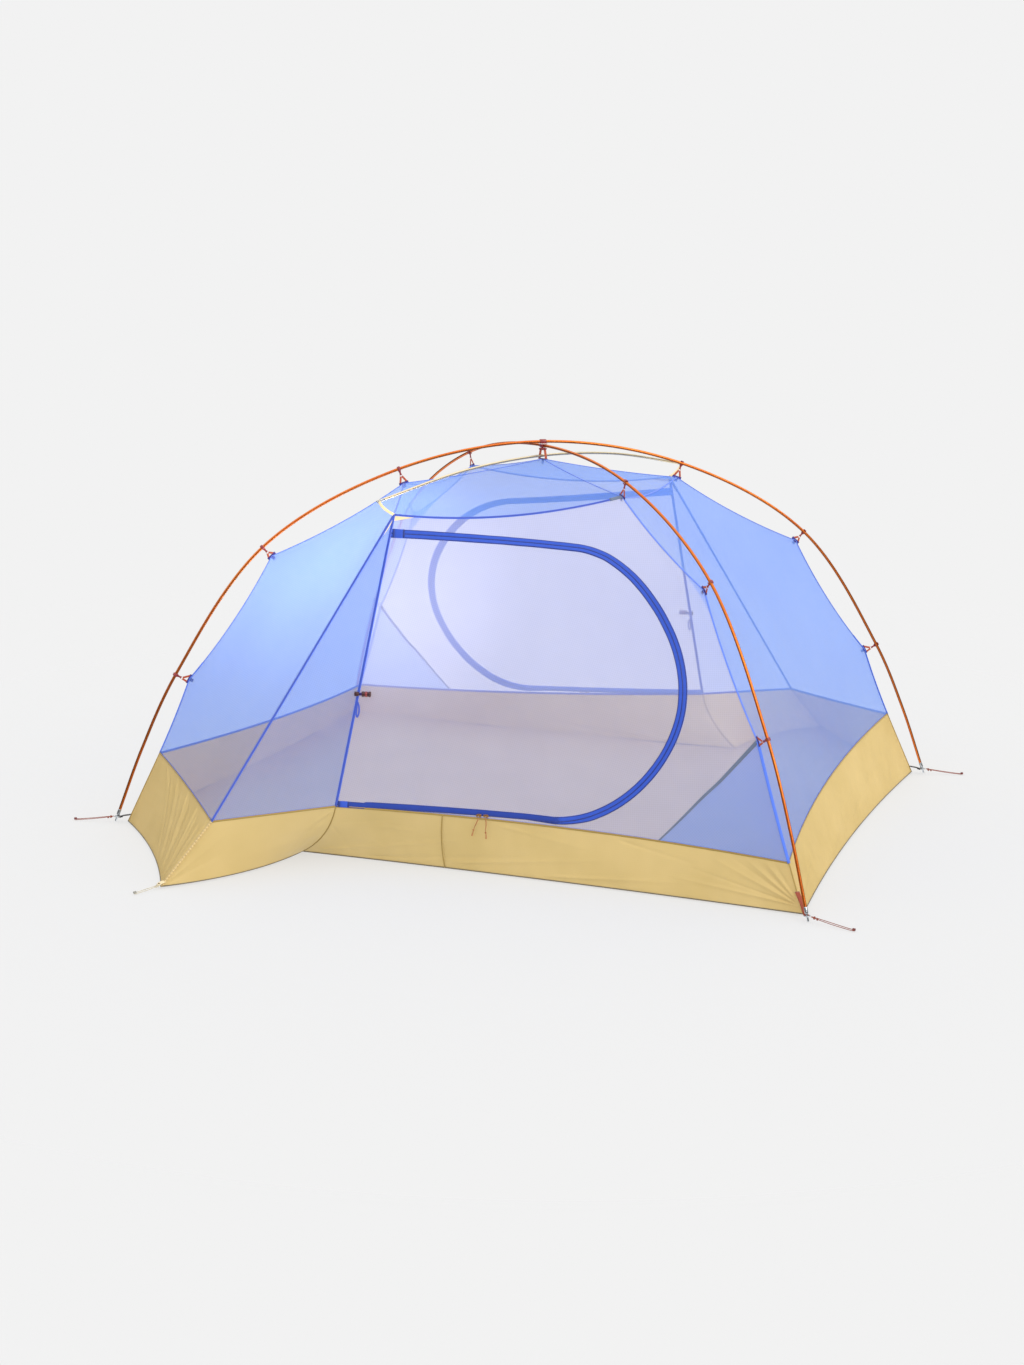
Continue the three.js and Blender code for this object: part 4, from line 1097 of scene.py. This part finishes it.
def make_slider(half, side):
    """A slider with its bridge, its pull cord, and the cord's knot and splayed tail."""
    x = SLIDER_PLACES[side]
    body = f"{half.face}_slider_{side}"
    name = f"zip_slider_{half.face}_{side}"
    seat = zip_place(x)
    along = unit(zip_place(x + 0.06) - zip_place(x - 0.06))
    outward = unit(np.cross(along, UP))
    shape = Shape()
    for rise in (0.0026, -0.0024):
        plate = span(seat - along * 0.0075, seat + along * 0.0075, 9) + outward * rise
        shape.tape(plate, 0.0098, 0.0018, outward, BRONZE, np.array(SLIDER_SWELL))
    shape.tape(span(seat - along * 0.002, seat + along * 0.002, 3), 0.0026, 0.0044, outward, BRONZE)
    stops = ((-0.005, 0.003), (-0.003, 0.006), (0.003, 0.006), (0.005, 0.003))
    bridge = smooth_line([seat + along * a + outward * b for a, b in stops], 6)
    shape.tape(bridge, 0.0030, 0.0012, np.cross(UP, along), BRONZE)
    shape.ring(seat + outward * 0.0062 - UP * 0.0022, along, 0.0026, 0.0010, STEEL)
    shape.make(name + "_body", half, body, [name], "slider")

    ear = seat + outward * 0.0066 - UP * 0.0046
    route = [ear + along * a + outward * b - UP * c for a, b, c in PULL_ROUTES[side]]
    line = smooth_line(route, 8)
    cord = cord_curve(name + "_pull", half.put(line), PULL_RADIUS, PULL_CORD, body)
    tie = int(KNOT_SHARE * len(line))
    tail = line[tie:]
    pieces = Shape().knot(line[tie], UP, 0.0052, PULL_CORD)
    pieces.tube(tail, 0.0011, PULL_CORD, 10, np.linspace(1.0, 2.0, len(tail)))
    twin = [p + along * 0.0014 * math.sin(math.pi * i / 3) + outward * 0.0004
            for i, p in enumerate(route[:4])]
    pieces.tube(smooth_line(twin, 8), 0.0008, PULL_CORD, 8)
    tied = pieces.make(name + "_pull_knot", half, body, slot="cord")
    half.put(line[0])
    length_of(line)


TOGGLE_SHARE = 0.617  # how far down the hinge seam the tie-back sits
LOOP_STOPS = [  # down, along and outwards from the tie-back loop's root
    (0, 0, 0), (0.020, 0.004, 0.002), (0.042, 0.007, 0.003), (0.050, 0.011, 0.004),
    (0.040, 0.014, 0.004), (0.018, 0.010, 0.004), (0.001, 0, 0.003)]


def make_tie_back(half, wall):
    """The toggle that holds the rolled-up door, and the loop of tape that it goes through."""
    seam = wall.place(at(0.0, TOGGLE_SHARE))
    along = unit(wall.place(at(0.1, TOGGLE_SHARE)) - seam)
    down = unit(HINGE_FOOT - APEX)
    outward = unit(np.cross(down, along))
    start = seam + along * 0.012 + outward * 0.009
    profile = [(0.0040, 0), (0.0064, 0.0004), (0.0082, 0.0020), (0.0082, 0.0044), (0.0070, 0.0062),
               (0.0067, 0.0135), (0.0070, 0.0208), (0.0082, 0.0226), (0.0082, 0.0250),
               (0.0064, 0.0266), (0.0040, 0.027)]
    wrap = [(0.0066, 0), (0.0080, 0.0008), (0.0080, 0.0062), (0.0066, 0.0070)]
    shape = Shape().turned(profile, start, along, TOGGLE)
    shape.turned(wrap, start + along * 0.0100, along, HOOK)
    name = f"tie_back_toggle_{half.face}"
    shape.make(name + "_barrel", half, f"{half.face}_toggle", [name], "toggle")

    hold = span(seam + outward * 0.001, start + along * 0.0155, 8, outward * 0.002)
    leash = Shape().tape(hold, 0.003, 0.0090, UP, PURPLE)
    leash.make(f"tie_back_leash_{half.face}", half, f"{half.face}_door", slot="webbing")

    root = wall.place(at(0.0, TOGGLE_SHARE + 0.02)) + outward * 0.002
    loop = smooth_line([root + down * a + along * b + outward * c for a, b, c in LOOP_STOPS], 8)
    tape = Shape().tape(loop, 0.0050, 0.0013, outward, SEAM)
    stub = [(0.003, 0), (0.0065, 0.001), (0.0065, 0.012), (0.003, 0.013)]
    tape.turned(stub, seam - along * 0.010 + outward * 0.006, along, TOGGLE)
    tape.make(f"tie_back_loop_{half.face}", half, slot="webbing")


# ---------- seams, hems and patches ----------
SEAM_CENTRE = at(0, 0, 0.25)  # seam tapes face away from here
PUCKER_COUNT, PUCKER_DEPTH = 24, 0.35  # along the wing's corner seam
FRONT_SEAM_SHARES = (0.232, 0.300)  # where a seam crosses the front tub wall, at hem and ground


def add_seam(shape, edge, width, thickness, look, start=0.0, end=1.0, rise=0.0008):
    """Adds a tape along an edge line from one share of it to another."""
    length = length_of(edge(np.linspace(start, end, 30)))
    line = edge(np.linspace(start, end, max(6, round(length / 0.012))))
    normals = unit(line - SEAM_CENTRE)
    shape.tape(line + normals * rise, width, thickness, normals, look)


def make_seams(half):
    shape = Shape()
    for edge in (HUB_TO_LEFT, HUB_TO_RIGHT, LEFT_TO_APEX, END_TOP):
        add_seam(shape, edge, 0.0050, 0.0018, THREAD)
    add_seam(shape, FRONT_TOP, 0.0062, 0.0020, SEAM)
    for edge in (LEFT_LEG, RIGHT_LEG):
        add_seam(shape, edge, 0.0060, 0.0020, THREAD, end=LOWER_HOOK)
        add_seam(shape, edge, 0.0100, 0.0026, EDGE, start=LOWER_HOOK)
    add_seam(shape, WING_RIDGE, 0.0080, 0.0026, SEAM)
    add_seam(shape, HINGE, 0.0090, 0.0030, SEAM, rise=0.0014)
    for edge in (WING_RIDGE, HINGE, FRONT_TOP):
        add_seam(shape, edge, 0.0075, 0.0012, EDGE, rise=-0.0014)
    add_seam(shape, FRONT_TOP, 0.013, 0.0022, DARK_TAPE, start=0.945)
    shape.make(f"canopy_seams_{half.face}", half, slot="ripstop")


def make_hems(half):
    shape = Shape()
    for edge in (FRONT_HEM, WING_SIDE_HEM, WING_FACE_HEM, END_HEM):
        add_seam(shape, edge, 0.0060, 0.0022, HEM)
        add_seam(shape, edge, 0.0070, 0.0014, SEAM, rise=-0.0020)
    # seams along the ground edges, dark as a painted contact shadow at the tub's foot
    for edge in (FRONT_GROUND, WING_SIDE_GROUND, WING_FACE_GROUND, END_GROUND):
        add_seam(shape, edge, 0.0036, 0.0024, FLOOR_SEAM_SHADOW)
    for edge in (RIGHT_CORNER, LEFT_CORNER, INNER_CORNER):
        add_seam(shape, edge, 0.0045, 0.0020, HEM)
    share = np.linspace(0, 1, 160)
    puckers = 1 + PUCKER_DEPTH * np.sin(share * PUCKER_COUNT * math.tau)
    shape.tape(WING_CORNER(share), 0.009, 0.004, (-0.6, -0.8, 0.1), PUCKER, puckers)
    top = FRONT_HEM(np.array(FRONT_SEAM_SHARES[:1]))[0]
    foot = FRONT_GROUND(np.array(FRONT_SEAM_SHARES[1:]))[0]
    add_seam(shape, bowed(top, foot, (-0.006, -0.001, 0)), 0.0035, 0.0016, HEM, rise=0.002)
    shape.make(f"tub_hems_{half.face}", half, slot="tub_cloth")


def make_patches(half, wall, wing_side, wing_face):
    """Yellow patches round the apex, each between four places on its panel."""
    shape = Shape()
    patches = (
        (wall, [(0, 0), (0.11, 0), (0.002, 0.022), (0, 0.022)]),
        (wing_side, [(0.965, 0), (1, 0), (1, 0.085), (0.999, 0.085)]),
        (wing_face, [(0.0, 0.0), (1.0, 0.0), (0.30, 0.060), (0.0, 0.085)]))
    for grid, corners in patches:
        a, b, c, d = np.array(corners, float)
        share = np.linspace(0, 1, 11)[:, None]
        upper, lower = a + share * (b - a), d + share * (c - d)
        places = upper[None] + share[:, None] * (lower - upper)[None]
        points = raised(grid, grid_normals(grid), places, 0.0010)
        shape.add(points.reshape(-1, 3), grid_faces(11, 11), PATCH)
    shape.make(f"apex_patches_{half.face}", half, slot="webbing")


# ---------- all panels of one half ----------
TUB_WING_FOLDS = [((0.16 + 0.066 * i, 0.02 + 0.05 * (i % 3)), (0.60 + 0.032 * i, 0.97),
                   0.006 + 0.002 * (i % 4), (0.0070, -0.0046, 0.0040)[i % 3]) for i in range(13)]
WING_FACE_FOLDS = [((0.22 + 0.11 * i, 0.985), (0.32 + 0.10 * i, 0.80 + 0.03 * (i % 3)),
                    0.008 + 0.002 * (i % 2), (0.0022, -0.0016)[i % 2]) for i in range(6)]
TUB_FACE_FOLDS = [
    *fan((1.0, 0.04), [(0.60, 0.50), (0.68, 0.80), (0.78, 0.96), (0.88, 0.96)], 0.006, 0.0034),
    *fan((0.0, 1.0), [(0.10, 0.10), (0.22, 0.22), (0.34, 0.50)], 0.006, 0.0030),
]
TUB_FRONT_FOLDS = [
    *fan((1.0, 0.86), [(0.965, 0.03), (0.945, 0.03), (0.925, 0.03), (0.90, 0.04), (0.87, 0.06),
                       (0.83, 0.16), (0.78, 0.40), (0.74, 0.62)], 0.0050, 0.0042),
    *fan((0.0, 0.30), [(0.16, 0.16), (0.20, 0.36), (0.22, 0.56), (0.16, 0.76), (0.10, 0.92)],
         0.0055, 0.0040),
    ((0.02, 0.90), (0.30, 0.46), 0.007, 0.0044), ((0.12, 0.97), (0.46, 0.62), 0.008, -0.0036),
    ((0.30, 0.90), (0.62, 0.50), 0.008, 0.0030), ((0.50, 0.94), (0.80, 0.70), 0.008, 0.0034),
    ((0.36, 0.10), (0.58, 0.36), 0.008, 0.0026), ((0.62, 0.08), (0.80, 0.34), 0.008, -0.0026),
]
TUB_END_FOLDS = [
    *fan((0.0, 0.86), [(0.05, 0.05), (0.10, 0.10), (0.16, 0.24), (0.20, 0.50)], 0.007, 0.0018),
    ((0.30, 0.90), (0.62, 0.50), 0.018, 0.0016), ((0.55, 0.80), (0.90, 0.40), 0.018, -0.0016),
]
END_WALL_FOLDS = [
    *fan((0.0, 0.0), [(0.22, 0.24), (0.14, 0.36), (0.32, 0.12)], 0.020, FOLD_DEPTH),
    *fan((1.0, 0.0), [(0.78, 0.24), (0.86, 0.36), (0.68, 0.12)], 0.020, FOLD_DEPTH),
    *fan((0.0, 0.70), [(0.16, 0.62), (0.18, 0.74), (0.12, 0.84)], 0.018, FOLD_DEPTH),
]
WING_SIDE_FOLDS = [
    *fan((0.0, 0.0), [(0.30, 0.26), (0.20, 0.36), (0.42, 0.16)], 0.018, FOLD_DEPTH),
    *fan((1.0, 1.0), [(0.82, 0.72), (0.90, 0.60), (0.72, 0.84)], 0.018, FOLD_DEPTH),
    *fan((0.0, 0.70), [(0.22, 0.62), (0.24, 0.76)], 0.018, FOLD_DEPTH),
]


def point_edge(point):
    """An edge that is only a point, for a panel that tapers."""
    return lambda t: np.repeat(point[None], len(t), axis=0)


def make_panels(half):
    """The canopy's cloth walls and roofs and the tub's walls. Returns the wing's two panels."""

    def panel(name, edges, folds, seed, look=CLOSE_RIPSTOP):
        grid = pressed(membrane(*edges, CLOTH_STEP), folds, CANOPY_CRUMPLE, seed)
        declare_sheet(cloth(name + "_cloth", grid, look, half, [name]))
        return grid

    panel(f"roof_{half.face}", (HUB_TO_LEFT, FRONT_TOP, LEFT_TO_APEX, HUB_TO_RIGHT), [], 3)
    panel(f"roof_{half.end}", (point_edge(HUB), END_TOP, HUB_TO_RIGHT, HUB_TO_FAR), [], 5)
    panel(f"end_wall_{half.end}", (END_TOP, END_HEM, RIGHT_LEG, FAR_LEG), END_WALL_FOLDS, 7)
    wing_side = panel(f"wing_side_{half.face}", (LEFT_TO_APEX, WING_SIDE_HEM, LEFT_LEG, WING_RIDGE),
                      WING_SIDE_FOLDS, 9, RIPSTOP)
    wing_face = panel(f"wing_face_{half.face}", (point_edge(APEX), WING_FACE_HEM, WING_RIDGE, HINGE),
                      WING_FACE_FOLDS, 11, RIPSTOP)

    tub_walls = (
        (f"tub_{half.face}", (FRONT_HEM, FRONT_GROUND, INNER_CORNER, RIGHT_CORNER), TUB_FRONT_FOLDS),
        (f"tub_end_{half.end}", (END_HEM, END_GROUND, RIGHT_CORNER, FAR_CORNER), TUB_END_FOLDS),
        (f"tub_wing_side_{half.face}", (WING_SIDE_HEM, WING_SIDE_GROUND, LEFT_CORNER, WING_CORNER),
         TUB_WING_FOLDS),
        (f"tub_wing_face_{half.face}", (WING_FACE_HEM, WING_FACE_GROUND, WING_CORNER, INNER_CORNER),
         TUB_FACE_FOLDS))
    for number, (name, edges, folds) in enumerate(tub_walls):
        grid = pressed(membrane(*edges, TUB_STEP), folds, STIFF_CRUMPLE, seed=13 + 2 * number)
        made = cloth(name + "_cloth", grid, TUB, half, [name], slot="tub_cloth")
        declare_sheet(made)
    return wing_side, wing_face


FLOOR_WAVE, FLOOR_RISE = 0.30, 0.0012  # length and height of the floor's waves


def make_floor():
    """The floor sheet: one piece under the middle, and a corner under each wing."""
    t = np.linspace(0, 1, 80, endpoint=False)
    side = np.concatenate([edge(t) for edge in (WING_ROOT, FRONT_GROUND, END_GROUND)])
    outline = np.concatenate([side, half_turned(side), side[:1]])
    sheet = outline[None] * np.linspace(0, 1, 90)[:, None, None]
    sheet[..., 2] = GROUND
    wing = membrane(WING_ROOT, WING_SIDE_GROUND, point_edge(GROUND_LEFT),
                    bowed(GROUND_INNER, GROUND_WING, (0.040, -0.020, 0)), CLOTH_STEP)
    shape = Shape()
    for grid in (sheet, wing, half_turned(wing)):
        points = grid.reshape(-1, 3).copy()
        points[:, 2] += FLOOR_RISE * ripple(points, FLOOR_WAVE, seed=23)
        shape.add(points, grid_faces(*grid.shape[:2]), FLOOR, points[:, :2])
    declare_sheet(shape.make("floor_cloth", replaces=["floor"], slot="floor_cloth"))


# ---------- studio ----------
STUDIO_RADIUS = 6.0
FADE_START, FADE_END = 1.7, 4.0  # distances where the floor fades into the background
FLOOR_TONE = (0.615, 0.615, 0.615)
BACKDROP_TONE = (0.888, 0.888, 0.888)


def floor_look(look):
    """A pale floor that fades into the background."""
    away = look.node("ShaderNodeVectorMath", {"operation": "LENGTH"}, _0=look.place())["Value"]
    matt = look.node("ShaderNodeBsdfDiffuse", Color=FLOOR_TONE)[0]
    glow = look.node("ShaderNodeEmission", Strength=1.0, Color=BACKDROP_TONE)[0]
    clear = look.node("ShaderNodeBsdfTransparent")[0]
    fade = look.ramp(away, FADE_START, FADE_END)
    return look.blend(fade, look.blend(0.6, matt, glow), clear)


def add_light(kind, name, energy, color, towards, aim=(0, 0, 0)):
    """A shadowless light that stands off from its aim by the vector towards."""
    data = bpy.data.lights.new(name, kind)
    data.energy = energy
    data.color = color
    data.use_shadow = False
    made = added(name, data)
    made.rotation_euler = Vector(towards).to_track_quat("Z", "Y").to_euler()
    made.location = aim + at(*towards)
    return data


def make_studio():
    """A pale floor that fades into an even pale background, a soft sky that is brighter from
    the right and from above, and a wide soft sun. One more light stands inside the tent, for
    the sunlit wing."""
    rim = np.column_stack([round_section(STUDIO_RADIUS, 96), np.full(96, -0.002)])
    floor = Shape().add(rim, [list(range(96))], material("studio_floor", floor_look))
    floor = floor.make("studio_floor")
    floor.visible_glossy = False

    world = bpy.data.worlds.new("studio")
    bpy.context.scene.world = world
    world.use_nodes = True
    look = Look(world.node_tree)
    direction = look.node("ShaderNodeTexCoord")["Generated"]
    facing = look.node("ShaderNodeVectorMath", {"operation": "DOT_PRODUCT"}, _0=direction,
                       _1=(0.45, -0.25, 0.86))["Value"]
    even = look.ramp(facing, -1.0, 1.0, 0.85, 1.30)
    crisp = look.ramp(look.math("ABSOLUTE", look.parts(direction)["Z"]), 0.2, 0.55, 0.03, 1.7)
    rays = look.node("ShaderNodeLightPath")
    sky = look.math("MULTIPLY_ADD", rays["Is Glossy Ray"], look.math("SUBTRACT", crisp, even), even)
    soft = look.node("ShaderNodeBackground", Color=(0.99, 0.992, 0.995), Strength=sky)[0]
    plain = look.node("ShaderNodeBackground", Strength=1.0, Color=BACKDROP_TONE)[0]
    both = look.blend(rays["Is Camera Ray"], soft, plain)
    look.node("ShaderNodeOutputWorld", Surface=both)

    sun = add_light("SUN", "sun", energy=1.5, color=(1.0, 0.985, 0.95), towards=(0.80, -0.26, 0.54))
    sun.angle = math.radians(35)
    wing = add_light("SPOT", "wing_light", energy=120, color=(1.0, 0.92, 0.8),
                     towards=(0.55, 0.38, -0.47), aim=at(-0.45, -0.60, 0.83))
    wing.spot_size = math.radians(56)
    wing.spot_blend = 1.0
    wing.shadow_soft_size = 0.3
    bpy.context.scene.view_settings.view_transform = "Standard"


# ---------- the whole scene ----------
make_camera()
make_cords()
for each in HALVES:
    for place in SLIDER_PLACES:
        make_slider(each, place)
make_poles()
make_hub()
make_hooks()
make_floor()
front_wall = DoorWall()
for each in HALVES:
    side_panel, face_panel = make_panels(each)
    make_door_wall(each, front_wall)
    make_zip(each, front_wall)
    make_tie_back(each, front_wall)
    make_ridge_tip(each)
    make_seams(each)
    make_hems(each)
    make_patches(each, front_wall.grid, side_panel, face_panel)
make_studio()
